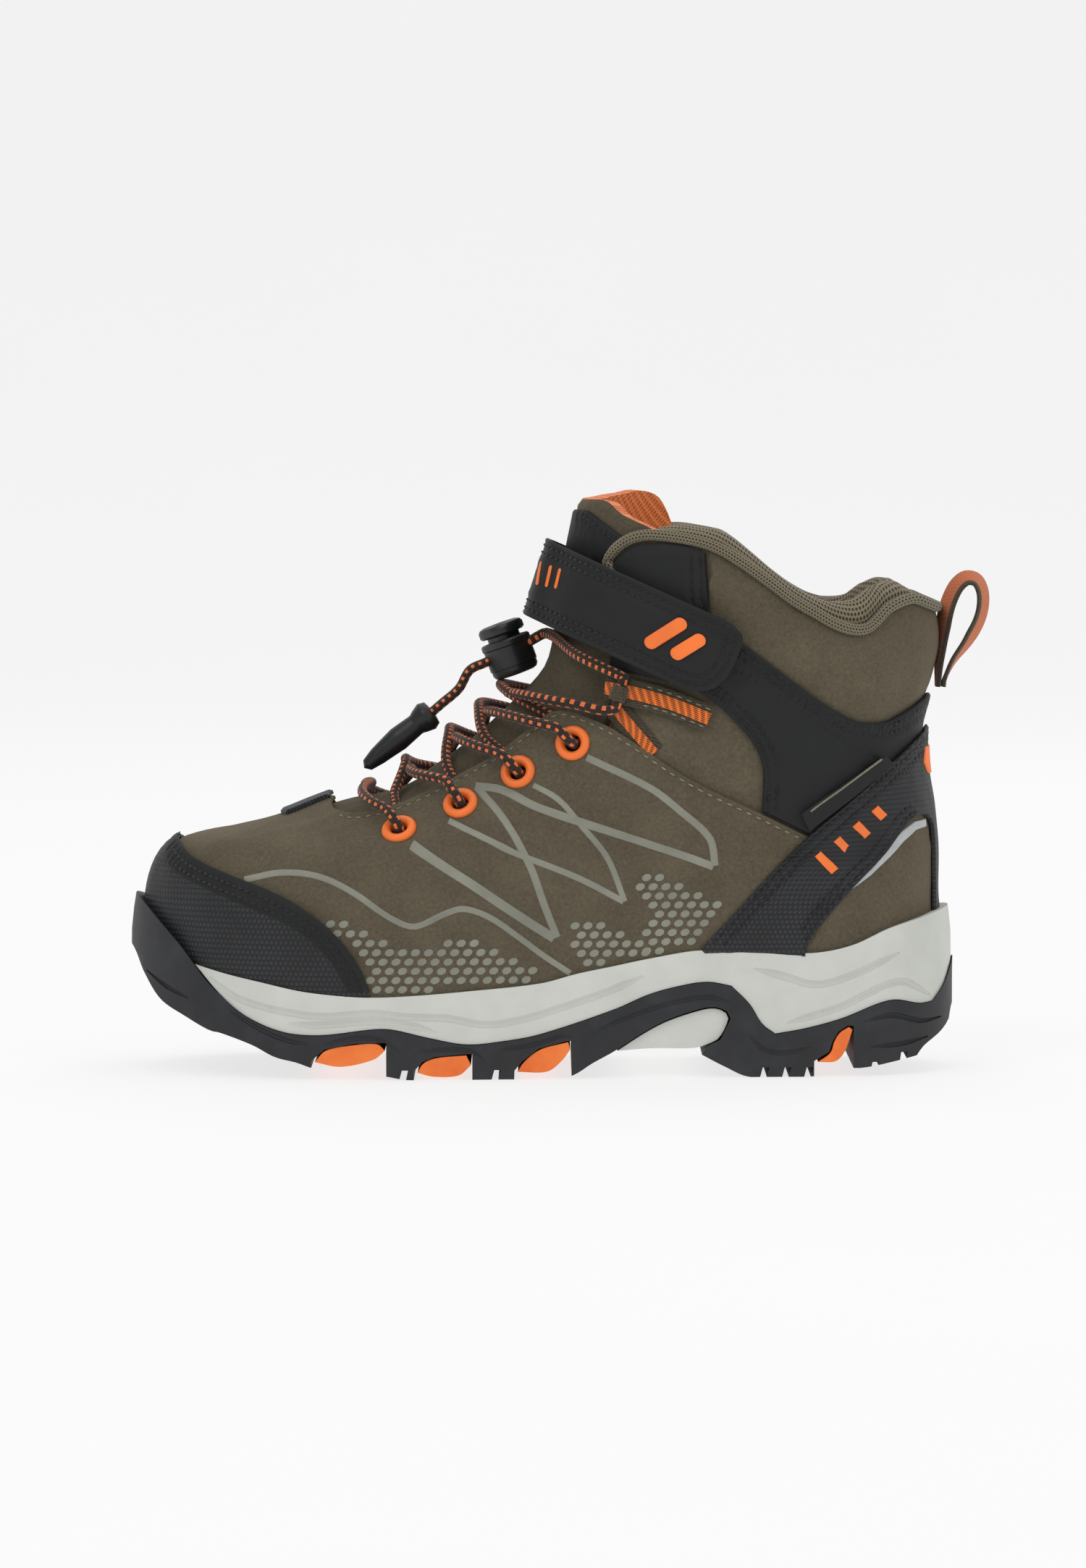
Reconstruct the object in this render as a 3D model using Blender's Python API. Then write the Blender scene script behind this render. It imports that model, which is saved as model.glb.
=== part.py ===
"""A child's mid-height hiking boot for the left foot, as an assembly of separate closed sub-parts.

Frame: millimetres in the functions below, metres in the meshes.  The boot stands on z = 0 with its toe
toward -X and its heel toward +X.  Its lateral side faces -Y and its medial side faces +Y.

The upper is laid out on one guiding surface, described by its front profile, its back profile and its
half-widths.  Every layer is a wall between two distances from that surface, trimmed by a side outline.
"""
import math

import bmesh
import bpy
from mathutils import Matrix, Vector

# ---------------------------------------------------------------- driving dimensions, in mm
FRAME_SHIFT = Vector((-4.85, 0.0, 0.0))    # centres the box over the origin
GAP = 0.35                       # air left between neighbouring pieces
LATERAL, MEDIAL = -1, 1
SOLE_FRONT, SOLE_BACK = -112.6, 113.4
RING_STEPS = 17                  # grid steps from toe to heel on each side
RISE_STEPS = 13                  # grid steps from sole to cuff

# layers of the upper: (inner, outer) distance from the guiding surface, outward positive
COLLAR_LAYER = (-10.5, -3.5)
TONGUE_LAYER = (-6.9, -3.75)
LINING_LAYER = (-3.1, -1.9)
BASE_LAYER = (-1.5, 0.0)
QUARTER_LAYER = (0.45, 1.6)
COVER_LAYER = (2.2, 3.1)
TRIM_LAYER = (3.5, 4.1)

LACE_D = 2.6
LACE_CROSSINGS = [-46.5, -36.5, -24.5, -16.0, -10.0]          # where the lace crosses the tongue
EDGE_EXITS = [(-40.5, 76.2), (-25.5, 83.0), (-14.5, 91.2), (-1.5, 100.4)]
LOOP_AXIS = Vector((0.35, 0.0, 0.94)).normalized()
LOOP_CENTRE, LOOP_LIFT = (22.5, 103.6), 3.9                  # where the lace runs through its webbing guide
EYELET_HOLE_R = 2.5
EYELET_RING_R = 4.8
EYELETS = [(-38.0, 66.0), (-21.3, 73.2), (-5.6, 82.0), (9.3, 90.3)]

STRAP_W = 19.5
STRAP_T = 1.3
STRAP_UP = Vector((0.30, 0.0, 0.954)).normalized()
STRAP_FRONT = (-0.1, 135.0)      # the strap's middle at the front of the shaft
STRAP_SLOPE = -0.444
STRAP_CORNER_X = 10.0            # where the tab starts to peel
STRAP_ANCHOR_X = 40.0            # where the strap is sewn down on the medial side

LOCK_CENTRE = Vector((-8.6, 0.0, 114.7))
LOCK_AXIS = Vector((-0.34, 0.0, 0.94)).normalized()
LACE_OUT = Vector((-0.90, 0.0, -0.436)).normalized()
TAIL_SPACING = 3.3

# ---------------------------------------------------------------- profiles of the guiding surface (x, z)
FRONT = [(-104, 12), (-106, 25), (-106.6, 38), (-106.3, 48), (-104, 56), (-100, 60.8), (-94, 63), (-84, 65),
         (-72, 68.1), (-62, 72), (-52, 75.8), (-42, 79.8), (-32, 86.2), (-22.3, 93.2), (-15.3, 99.2),
         (-9.3, 104.9), (-4.6, 109.5), (-1.7, 113.6), (0, 118.9), (1.5, 126.6), (3.5, 135.6), (5.5, 145.7),
         (7.5, 156), (9, 170)]
BACK = [(108, 12), (108.6, 25), (108, 38), (107, 48), (107, 60), (106, 72), (104.2, 84), (104.2, 95),
        (106.4, 104), (107.6, 112), (108.6, 118), (109, 126), (108.6, 136), (108, 170)]
BACK_HEIGHTS = [(12, 12), (38, 37), (60, 56), (75, 73), (100, 98), (170, 170)]

# half-widths away from the rounded ends, at these lengths and heights
WIDTH_X = [-112, -70, -30, 10, 50, 90, 112]
LATERAL_W = [(12, [41, 42.5, 41, 36.5, 33, 31, 31]),
             (45, [39, 41.5, 40.5, 36.5, 33, 31, 31]),
             (65, [32, 35, 36, 35.5, 33.5, 31.5, 30]),
             (85, [29, 30, 31.5, 32.5, 34, 32, 29]),
             (110, [27, 27, 28, 30, 33.5, 32.5, 30]),
             (170, [28, 28, 28, 30, 34.0, 33, 31])]
MEDIAL_W = [(12, [42, 42.5, 38, 31.5, 29.5, 30.5, 31]),
            (45, [40, 41.5, 38.5, 33, 31, 31, 31]),
            (65, [33, 35, 35.5, 34, 33, 31.5, 30]),
            (85, [29, 30, 31.5, 32, 33.5, 32, 29]),
            (110, [27, 27, 28, 30, 33.5, 32.5, 30]),
            (170, [28, 28, 28, 30, 34.0, 33, 31])]
CENTRE_LINE = ([-112, -70, -20, 40, 112], [5.0, 1.5, -1.0, 0.0, 0.0])
FRONT_ROUND = ([12, 45, 64, 82, 105, 170], [58, 60, 86, 82, 50, 46])
BACK_ROUND = ([12, 60, 100, 170], [31, 30, 31, 33])

# ---------------------------------------------------------------- side outlines (x, z)
FEATHER = [(-112, 33), (-94, 30.5), (-85, 28), (-75, 26), (-65, 24), (-55, 22.9), (-45, 22.4), (-35, 22.8),
           (-20, 24), (0, 26), (10, 28.5), (20, 30.5), (30, 32.5), (44, 34.6), (65, 34), (75, 33.8),
           (85, 35.8), (95, 40), (105, 42.8), (118, 46.5)]
MIDSOLE_BOTTOM = [(-94, 30.2), (-87, 22.5), (-80, 17), (-70, 13), (-60, 12.2), (-45, 13.9), (-40, 13.8),
                  (-30, 11.5), (-20, 9.7), (-10, 10.5), (0, 12.3), (20, 18.8), (30, 23), (40, 25.5), (46, 26.1),
                  (52, 25), (57, 20), (60.5, 14.5), (64, 11.9), (72, 13.3), (82, 16), (92, 19.8), (97, 20.7),
                  (104, 19.3), (107.5, 19.6), (111, 24), (114, 31), (120, 34)]
BUMPER_TOP = [(-116, 50), (-110.5, 47.2), (-107, 44), (-100, 37), (-96.5, 33)]
TREAD_BOTTOM = [(118, 24), (113.2, 17), (112.6, 14), (110, 11), (105, 7.5), (103, 5), (98, 4), (88, 2.3),
                (80, 2.3), (74, 0), (57, 0), (50, 3), (44, 6.2), (45.6, 8.4), (49, 10.2), (51.8, 16),
                (50.8, 18), (48, 19.2), (44, 18.9), (35, 16), (29, 13), (20, 7.3), (14, 4), (10, 1.4), (6, 0),
                (-10, 0), (-17, 0), (-36, 0), (-42, 1), (-61, 3), (-66, 4.6), (-72, 6), (-78, 9),
                (-87, 12), (-90, 12.5), (-97, 16), (-104, 20), (-109, 27), (-112, 33), (-116, 36)]
ARCH_PIECE = [(21, 7.4), (30, 8), (42, 8), (45.4, 9), (48.6, 10.7), (51.2, 16), (50.4, 17.6), (47.8, 18.7),
              (44.2, 18.4), (35, 15.5), (29, 12.5)]
TREAD_INSERTS = [[(-61, 4.8), (-58, 8), (-50, 9.6), (-44, 9.8), (-42, 8), (-45, 5.6), (-54, 3.6)],
                 [(-33.2, 2), (-31.5, 4.6), (-28, 6), (-20, 6.7), (-18.7, 4), (-22, 1.2), (-29, 0.9)],
                 [(-6, 2), (-4.5, 4.5), (0, 8), (7.6, 10), (8.2, 8), (6, 5), (2, 2)],
                 [(75.6, 4), (79, 6.5), (80, 9.5), (81.5, 12), (84, 13.6), (85, 12.8), (83, 7), (80.5, 4.2)]]
EYESTAY_EDGE = [(-56, 71), (-52, 70), (-47, 70.5), (-38, 73), (-28, 77.5), (-20, 82), (-10, 88), (-5, 92),
                (0, 96), (3, 98.3), (7, 99.3), (10, 98.7), (20, 94.5), (40, 81.5), (60, 71.7), (73, 65.3)]
TOE_CAP_EDGE = [(-97, 66), (-99.5, 63), (-97, 60), (-93, 57), (-83, 53), (-73, 49.7), (-63, 45.3), (-55, 39),
                (-50, 32.5), (-46.5, 25.5), (-45.4, 18)]
COLLAR_LINE = [(19.5, 139.5), (22, 143), (26, 145.6), (31, 146.4), (42, 145), (48, 143), (55, 138.7),
               (62, 133.7), (68, 129.2), (74, 125.7), (80, 122.3), (85, 120.8), (89, 121.3), (92, 123.8),
               (95, 126.8), (101, 129), (105, 127.6), (112, 125)]
ROLL_TOP = [(30, 147), (34, 149.3), (45, 149), (51, 147.5), (57, 143), (63, 138), (70, 133), (76, 130),
            (82, 129.3), (87, 130), (91, 132.5), (98, 135), (102, 134), (106, 130.5), (112, 125)]
BRACE_FRONT = [(43.5, 30), (45, 36.5), (53, 45), (63, 56), (73, 66), (82, 74), (92, 83), (102, 92), (107, 95.5),
               (116, 97)]
BRACE_WINDOW = [(69, 29), (72, 35), (76, 41), (84, 51), (92, 60), (98, 68), (100.5, 70), (103, 70.2),
                (104.5, 69), (105.4, 66), (105.9, 55), (106, 43.5), (106, 38), (100, 29)]
ANKLE_TOP = [(46, 127), (50, 122), (55, 118), (65, 110.5), (75, 103), (85, 97), (90, 96.2), (95, 96.8),
             (107, 103.5), (116, 108)]
ANKLE_BOTTOM = [(116, 95), (107, 92), (92, 79.5), (82, 70.5), (75.5, 65), (60.2, 72.3), (60.5, 80), (60, 86),
                (57, 92), (53, 96.5), (46, 103), (40, 106), (30, 108.5), (19, 111)]
PULL_LOOP_LINE = [(109.7, 105), (110.2, 113), (111.8, 125), (114.4, 132), (117.5, 134.9), (120.6, 134.2),
                  (122.2, 130), (121.4, 124), (118, 117.5), (114, 112), (111.6, 107), (111.2, 105)]

# ---------------------------------------------------------------- colours (linear) and finishes
COLOURS = {"olive softshell": ((0.085, 0.070, 0.043, 1), 0.85), "black overlay": ((0.022, 0.023, 0.026, 1), 0.7),
           "woven overlay": ((0.025, 0.026, 0.03, 1), 0.8), "orange rubber": ((0.9, 0.18, 0.03, 1), 0.5),
           "grey foam": ((0.55, 0.57, 0.52, 1), 0.75), "black rubber": ((0.025, 0.027, 0.03, 1), 0.65),
           "orange plastic": ((0.92, 0.2, 0.03, 1), 0.4), "black plastic": ((0.015, 0.015, 0.017, 1), 0.45),
           "knit lining": ((0.09, 0.08, 0.055, 1), 0.95), "orange mesh": ((0.9, 0.17, 0.03, 1), 0.9),
           "lace cord": ((0.03, 0.02, 0.013, 1), 0.9), "webbing": ((0.06, 0.045, 0.025, 1), 0.9),
           "fibre board": ((0.35, 0.28, 0.2, 1), 0.9), "reflective grey": ((0.5, 0.52, 0.54, 1), 0.35),
           "spring steel": ((0.6, 0.6, 0.62, 1), 0.3), "hook tape": ((0.02, 0.02, 0.022, 1), 0.95)}


# ---------------------------------------------------------------- small tools
def material(name):
    found = bpy.data.materials.get(name)
    if found:
        return found
    made = bpy.data.materials.new(name)
    made.use_nodes = True
    shader = made.node_tree.nodes["Principled BSDF"]
    colour, roughness = COLOURS[name]
    shader.inputs["Base Color"].default_value = colour
    shader.inputs["Roughness"].default_value = roughness
    shader.inputs["Metallic"].default_value = 1.0 if name == "spring steel" else 0.0
    return made


def finish(name, bm, paint, origin=(0.0, 0.0, 0.0), smooth=True):
    """Turns a bmesh in millimetres into an object in metres, with its origin at the point given."""
    bmesh.ops.recalc_face_normals(bm, faces=bm.faces)
    base = Vector(origin)
    bmesh.ops.translate(bm, verts=bm.verts, vec=-base)
    bmesh.ops.scale(bm, vec=(0.001, 0.001, 0.001), verts=bm.verts)
    mesh = bpy.data.meshes.new(name)
    bm.to_mesh(mesh)
    bm.free()
    if smooth:
        mesh.shade_smooth()
        mesh.set_sharp_from_angle(angle=math.radians(40))
    mesh.materials.append(material(paint))
    obj = bpy.data.objects.new(name, mesh)
    obj.location = (base + FRAME_SHIFT) * 0.001
    bpy.context.scene.collection.objects.link(obj)
    return obj


def as_cutter(obj):
    obj.hide_render = True
    obj.display_type = "WIRE"
    return obj


def combine(obj, cutter, operation):
    """Adds a live exact Boolean, with the second object kept as a hidden cutter."""
    as_cutter(cutter)
    step = obj.modifiers.new(operation.title(), "BOOLEAN")
    step.operation = operation
    step.solver = "EXACT"
    step.object = cutter
    return obj


def hermite(xs, ys, x):
    """A smooth value through the points (xs, ys), level past both ends."""
    if x <= xs[0]:
        return ys[0]
    if x >= xs[-1]:
        return ys[-1]
    k = 1
    while xs[k] < x:
        k += 1
    slopes = []
    for i in (k - 1, k):
        low, high = max(i - 1, 0), min(i + 1, len(xs) - 1)
        slopes.append((ys[high] - ys[low]) / (xs[high] - xs[low]))
    h = xs[k] - xs[k - 1]
    u = (x - xs[k - 1]) / h
    return (ys[k - 1] * (1 + 2 * u) * (1 - u) ** 2 + slopes[0] * h * u * (1 - u) ** 2
            + ys[k] * u * u * (3 - 2 * u) - slopes[1] * h * u * u * (1 - u))


def along(points, share):
    """The point at a share of the way along a smooth curve through the points."""
    lengths = [0.0]
    for a, b in zip(points, points[1:]):
        lengths.append(lengths[-1] + math.dist(a, b))
    at = share * lengths[-1]
    return tuple(hermite(lengths, [p[i] for p in points], at) for i in range(len(points[0])))


def smooth_line(points, steps):
    return [along(points, i / steps) for i in range(steps + 1)]


# ---------------------------------------------------------------- the guiding surface
def half_width(x, z, side):
    table = LATERAL_W if side == LATERAL else MEDIAL_W
    return hermite([row[0] for row in table], [hermite(WIDTH_X, row[1], x) for row in table], z)


def ring_ends(rise):
    """The front and back points of the ring at this share of the rise."""
    xf, zf = along(FRONT, rise)
    zb = hermite([p[0] for p in BACK_HEIGHTS], [p[1] for p in BACK_HEIGHTS], zf)
    return xf, zf, hermite([p[1] for p in BACK], [p[0] for p in BACK], zb), zb


def surface(turn, rise):
    """A point of the guiding surface: turn runs 0 at the toe to 1 at the heel, negative on the lateral side."""
    if abs(turn) > 1:
        turn -= math.copysign(2, turn)
    xf, zf, xb, zb = ring_ends(rise)
    side = LATERAL if turn < 0 else MEDIAL
    share = (1 - math.cos(math.pi * turn)) / 2
    x = xf + (xb - xf) * share
    z = zf + (zb - zf) * share
    front_round = hermite(*FRONT_ROUND, zf)
    back_round = hermite(*BACK_ROUND, zb)
    ends = (math.sqrt(max(0.0, 1 - max(0.0, 1 - (x - xf) / front_round) ** 2))
            * math.sqrt(max(0.0, 1 - max(0.0, 1 - (xb - x) / back_round) ** 2)))
    return Vector((x, hermite(*CENTRE_LINE, x) + side * half_width(x, z, side) * ends, z))


def offset_point(turn, rise, distance):
    """The surface point moved outward along its normal."""
    step = 0.004
    across = surface(turn + step, rise) - surface(turn - step, rise)
    low, high = max(rise - step, 0.0), min(rise + step, 1.0)
    up = surface(turn, high) - surface(turn, low)
    normal = up.cross(across).normalized()
    return surface(turn, rise) + normal * distance


def turn_and_rise(x, z, side):
    """Where the side-view point (x, z) lies on the surface."""
    low, high = 0.0, 1.0
    for _ in range(32):
        rise = (low + high) / 2
        xf, zf, xb, zb = ring_ends(rise)
        share = (x - xf) / (xb - xf)
        if share < 0 or zf + (zb - zf) * share > z:
            high = rise
        else:
            low = rise
    xf, zf, xb, zb = ring_ends(low)
    share = min(max((x - xf) / (xb - xf), 0.0), 1.0)
    return side * math.acos(1 - 2 * share) / math.pi, low


def side_point(x, z, side, distance=0.0):
    return offset_point(*turn_and_rise(x, z, side), distance)


def side_normal(x, z, side):
    return (side_point(x, z, side, 1.0) - side_point(x, z, side)).normalized()


# ---------------------------------------------------------------- blanks and cutters
def wall_blank(name, layer, paint):
    """A closed wall all round the foot between two distances from the guiding surface."""
    bm = bmesh.new()
    rings = []
    for distance in (layer[1], layer[0]):
        for row in range(RISE_STEPS + 1):
            ring = []
            for k in range(2 * RING_STEPS):
                turn = k / RING_STEPS
                turn = -turn if turn <= 1 else 2 - turn
                ring.append(bm.verts.new(offset_point(turn, row / RISE_STEPS, distance)))
            rings.append(ring)
    count = RISE_STEPS + 1
    order = list(range(count)) + list(range(2 * count - 1, count - 1, -1)) + [0]
    for a, b in zip(order, order[1:]):
        rising = b > a if a < count and b < count else b < a
        for k in range(2 * RING_STEPS):
            n = (k + 1) % (2 * RING_STEPS)
            add_cell(bm, rings[a][k], rings[a][n], rings[b][n], rings[b][k], rising == (k < RING_STEPS))
    return finish(name, bm, paint)


def add_cell(bm, a, b, c, d, leaning):
    """Two triangles, split along the diagonal that keeps neighbouring layers parallel."""
    if leaning:
        bm.faces.new((a, b, c))
        bm.faces.new((a, c, d))
    else:
        bm.faces.new((a, b, d))
        bm.faces.new((b, c, d))


def stacked_blank(name, levels, paint):
    """A closed solid from rings of points, one above the other, filled across from side to side."""
    bm = bmesh.new()
    rings = [[bm.verts.new(p) for p in level] for level in levels]
    size = len(rings[0])
    half = size // 2
    for low, high in zip(rings, rings[1:]):
        for k in range(size):
            n = (k + 1) % size
            bm.faces.new((low[k], low[n], high[n], high[k]))
    for ring in (rings[0], rings[-1]):
        for k in range(half):
            a, b, c, d = ring[k], ring[k + 1], ring[(size - k - 1) % size], ring[(size - k) % size]
            corners = [a, b, c, d]
            bm.faces.new([v for i, v in enumerate(corners) if v not in corners[:i]])
    return finish(name, bm, paint)


def sole_ring(z, grow, front, back):
    """One level of the sole's outline, grown outward from the upper's own plan."""
    ring = []
    steps = 2 * RING_STEPS
    for k in range(2 * steps):
        turn = k / steps
        turn = -turn if turn <= 1 else 2 - turn
        side = LATERAL if turn < 0 else MEDIAL
        x = front + (back - front) * (1 - math.cos(math.pi * turn)) / 2
        ends = (math.sqrt(1 - max(0.0, 1 - (x - front) / 62) ** 2)
                * math.sqrt(1 - max(0.0, 1 - (back - x) / 35) ** 2))
        y = hermite(*CENTRE_LINE, x) + side * (half_width(x, 20, side) + grow) * ends
        ring.append(Vector((x, y, z)))
    return ring


def sole_blank(name, grow, paint):
    """The sole's side walls, fuller at mid-height, for a side outline to trim."""
    levels = [(-3, 1.2, -0.5), (6, 2.4, 0.0), (16, 3.2, 0.0), (26, 3.0, 0.0), (38, 2.6, 0.0), (50, 1.6, 1.6),
              (60, 0.0, 4.0)]
    return stacked_blank(name, [sole_ring(z, out + grow, SOLE_FRONT + back - grow, SOLE_BACK - back + grow)
                                for z, out, back in levels], paint)


def prism(name, outline, y0=-70.0, y1=70.0, paint="black rubber"):
    """A side outline drawn out across the boot."""
    bm = bmesh.new()
    face = bm.faces.new([bm.verts.new((x, y0, z)) for x, z in outline])
    made = bmesh.ops.extrude_face_region(bm, geom=[face])
    moved = [v for v in made["geom"] if isinstance(v, bmesh.types.BMVert)]
    bmesh.ops.translate(bm, verts=moved, vec=(0, y1 - y0, 0))
    return finish(name, bm, paint, smooth=False)


def panel(name, outline, layer, paint, y0=-70.0, y1=70.0):
    """A wall of the upper trimmed to a side outline, on both sides unless y limits are given."""
    wall = wall_blank(name, layer, paint)
    return combine(wall, prism(name + "_trim", outline, y0, y1), "INTERSECT")


def raised(line, dz):
    return [(x, z + dz) for x, z in line]


def cylinder(name, centre, axis, radius, length, sides, paint):
    bm = bmesh.new()
    turned = Vector((0, 0, 1)).rotation_difference(axis).to_matrix().to_4x4()
    bmesh.ops.create_cone(bm, cap_ends=True, segments=sides, radius1=radius, radius2=radius, depth=length,
                          matrix=Matrix.Translation(centre) @ turned)
    return finish(name, bm, paint)


def lathe(name, profile, centre, axis, sides, paint):
    """A closed profile of (radius, height) spun round an axis."""
    bm = bmesh.new()
    rings = []
    for r, h in profile:
        rings.append([bm.verts.new((r * math.cos(2 * math.pi * k / sides), r * math.sin(2 * math.pi * k / sides), h))
                      for k in range(sides)])
    for a, b in zip(rings, rings[1:] + rings[:1]):
        for k in range(sides):
            n = (k + 1) % sides
            bm.faces.new((a[k], a[n], b[n], b[k]))
    turned = Vector((0, 0, 1)).rotation_difference(axis).to_matrix().to_4x4()
    bmesh.ops.transform(bm, matrix=Matrix.Translation(centre) @ turned, verts=bm.verts)
    return finish(name, bm, paint)


def tube(name, points, diameter, paint):
    """A round cord along points that are already smooth."""
    data = bpy.data.curves.new(name, "CURVE")
    data.dimensions = "3D"
    data.bevel_depth = diameter / 2000
    data.bevel_resolution = 1
    data.use_fill_caps = True
    spline = data.splines.new("POLY")
    spline.points.add(len(points) - 1)
    for target, p in zip(spline.points, points):
        target.co = (p[0] / 1000, p[1] / 1000, p[2] / 1000, 1)
    data.materials.append(material(paint))
    obj = bpy.data.objects.new(name, data)
    obj.location = FRAME_SHIFT * 0.001
    bpy.context.scene.collection.objects.link(obj)
    return obj


def block(centre, size, axis_x, axis_z, bevel, segments):
    """A box with its own length and height directions and rounded edges."""
    bm = bmesh.new()
    bmesh.ops.create_cube(bm, size=1.0)
    bmesh.ops.scale(bm, vec=size, verts=bm.verts)
    bmesh.ops.bevel(bm, geom=bm.edges[:], offset=bevel, segments=segments, profile=0.5, affect="EDGES")
    x, z = axis_x.normalized(), axis_z.normalized()
    y = z.cross(x)
    turned = Matrix((x, y, z)).transposed().to_4x4()
    bmesh.ops.transform(bm, matrix=Matrix.Translation(centre) @ turned, verts=bm.verts)
    return bm


# ---------------------------------------------------------------- the sole
def make_outsole():
    """Black rubber tread whose front wraps up over the toe as a bumper."""
    top = [(x, z - GAP) for x, z in MIDSOLE_BOTTOM[1:]]
    outline = BUMPER_TOP + [(-94, 29.6), (-90.6, 25.5)] + top + TREAD_BOTTOM
    outsole = combine(sole_blank("outsole", 0.5, "black rubber"), prism("outsole_trim", outline), "INTERSECT")
    shell = sole_blank("toe_space", -1.6, "black rubber")
    combine(shell, prism("toe_space_trim", [(-120, 30.6), (-90, 30.6), (-90, 60), (-120, 60)]), "INTERSECT")
    combine(outsole, shell, "DIFFERENCE")
    for k, outline in enumerate(TREAD_INSERTS):
        top = max(range(len(outline)), key=lambda i: outline[i][1])
        left, right = outline[0][0] - 3 * GAP, max(p[0] for p in outline) + GAP
        crown = [(x - GAP, z + GAP) for x, z in outline[1:top + 1]]
        pocket = [(left, -6.0), (left, outline[0][1] + GAP)] + crown + [(right, crown[-1][1]), (right, -6.0)]
        combine(outsole, prism("insert_pocket_%d" % (k + 1), pocket), "DIFFERENCE")
    for k, (x0, x1, y) in enumerate([(-74, 16, -13), (-74, 16, 12), (58, 106, 0)]):
        groove = [(x0, -4), (x1, -4), (x1, 2.4), (x0, 2.4)]
        combine(outsole, prism("tread_groove_%d" % (k + 1), groove, y - 2.5, y + 2.5), "DIFFERENCE")


def make_tread_inserts():
    """Orange rubber bars across the sole that show between the lugs."""
    for k, outline in enumerate(TREAD_INSERTS):
        bar = sole_blank("tread_insert_%d" % (k + 1), -0.6, "orange rubber")
        combine(bar, prism("tread_insert_trim_%d" % (k + 1), outline), "INTERSECT")


def make_midsole():
    """Grey foam wedge between the tread and the upper, with a slot for the shank."""
    outline = MIDSOLE_BOTTOM + [(120, 47)] + [p for p in reversed(FEATHER) if p[0] > -94][1:]
    midsole = combine(sole_blank("midsole", 0.0, "grey foam"), prism("midsole_trim", outline), "INTERSECT")
    slot = [(-12, 23.2), (0, 24), (20, 28.5), (44, 32.6), (60, 32.2), (60, 40), (-12, 40)]
    combine(midsole, prism("shank_slot", slot, -8.5, 8.5), "DIFFERENCE")


def make_inner_sole():
    """Shank, insole board and removable footbed, stacked above the midsole."""
    shank = [(-11.5, 23.6), (0, 24.4), (20, 28.9), (44, 33), (59.5, 32.6), (59.5, 33.8), (44, 34.2), (20, 30.1),
             (0, 25.6), (-11.5, 24.6)]
    prism("shank", shank, -8.0, 8.0, "spring steel")
    line = smooth_line([p for p in FEATHER if -100 < p[0] < 110], 26)
    for name, low, high, grow, x0, x1, paint in (
            ("insole_board", 0.4, 2.0, -4.2, -99.5, 102.5, "fibre board"),
            ("sockliner", 2.4, 6.2, -4.6, -99.0, 102.0, "knit lining")):
        kept = [p for p in line if x0 - 2 < p[0] < x1 + 2]
        plate = stacked_blank(name, [sole_ring(z, grow, x0, x1) for z in (10, 60)], paint)
        outline = raised(kept, low) + list(reversed(raised(kept, high)))
        combine(plate, prism(name + "_trim", outline), "INTERSECT")


def make_arch_bridge():
    piece = sole_blank("arch_bridge", -0.8, "grey foam")
    combine(piece, prism("arch_bridge_trim", ARCH_PIECE), "INTERSECT")


# ---------------------------------------------------------------- the upper
def above_feather(x0, x1, lift):
    """The feather line between two lengths, raised a little, from front to back."""
    ends = [(x0, hermite([p[0] for p in FEATHER], [p[1] for p in FEATHER], x0)),
            (x1, hermite([p[0] for p in FEATHER], [p[1] for p in FEATHER], x1))]
    inside = [p for p in FEATHER if x0 < p[0] < x1]
    return raised([ends[0]] + inside + [ends[1]], lift)


def make_vamp_quarter():
    """Olive softshell forefoot and quarters in one piece, open along the lacing."""
    floor = above_feather(-118, 118, GAP)
    outline = floor + [(118, 62), (76, 62)] + list(reversed(EYESTAY_EDGE)) + [(-56, 90), (-118, 90)]
    vamp = panel("vamp_quarter", outline, QUARTER_LAYER, "olive softshell")
    for k, (x, z) in enumerate(EYELETS):
        for side in (LATERAL, MEDIAL):
            hole = cylinder("eyelet_hole_%d_%d" % (k + 1, side), side_point(x, z, side), side_normal(x, z, side),
                            EYELET_HOLE_R + 0.9, 12, 12, "black plastic")
            combine(vamp, hole, "DIFFERENCE")


def make_base_layer():
    """Shaft panel under the cuff, the toe puff and the heel counter."""
    shaft = [(19.5, 84), (30, 77), (45, 69), (60, 63.5), (75, 58.5), (118, 58.5)] + list(reversed(COLLAR_LINE))
    panel("shaft_panel", shaft + [(19.5, 110)], BASE_LAYER, "olive softshell")
    puff = above_feather(-118, -76, 0.8) + [(-76, 90), (-118, 90)]
    panel("toe_puff", puff, BASE_LAYER, "fibre board")
    counter = above_feather(58, 118, 0.8) + [(118, 57.5), (80, 56.5), (68, 50), (58, 40)]
    panel("heel_counter", counter, BASE_LAYER, "fibre board")


def make_lining():
    """Inner bootie, ending under the tongue's edge, and the padded cuff inside it."""
    floor = above_feather(-118, 118, GAP + 0.2)
    edge = [(34, 147), (33, 120), (30, 96), (18, 84), (0, 74), (-20, 65), (-40, 58), (-58, 57), (-62, 90), (-118, 90)]
    top = [p for p in reversed(COLLAR_LINE) if p[0] > 36]
    panel("lining", floor + [(118, 122)] + top + edge, LINING_LAYER, "knit lining")
    cuff = [(118, 97), (96, 95), (84, 97), (60, 106), (46, 112), (36, 114)] + [(35, 147)] + ROLL_TOP[1:]
    panel("collar_pad", cuff, COLLAR_LAYER, "knit lining")


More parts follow.
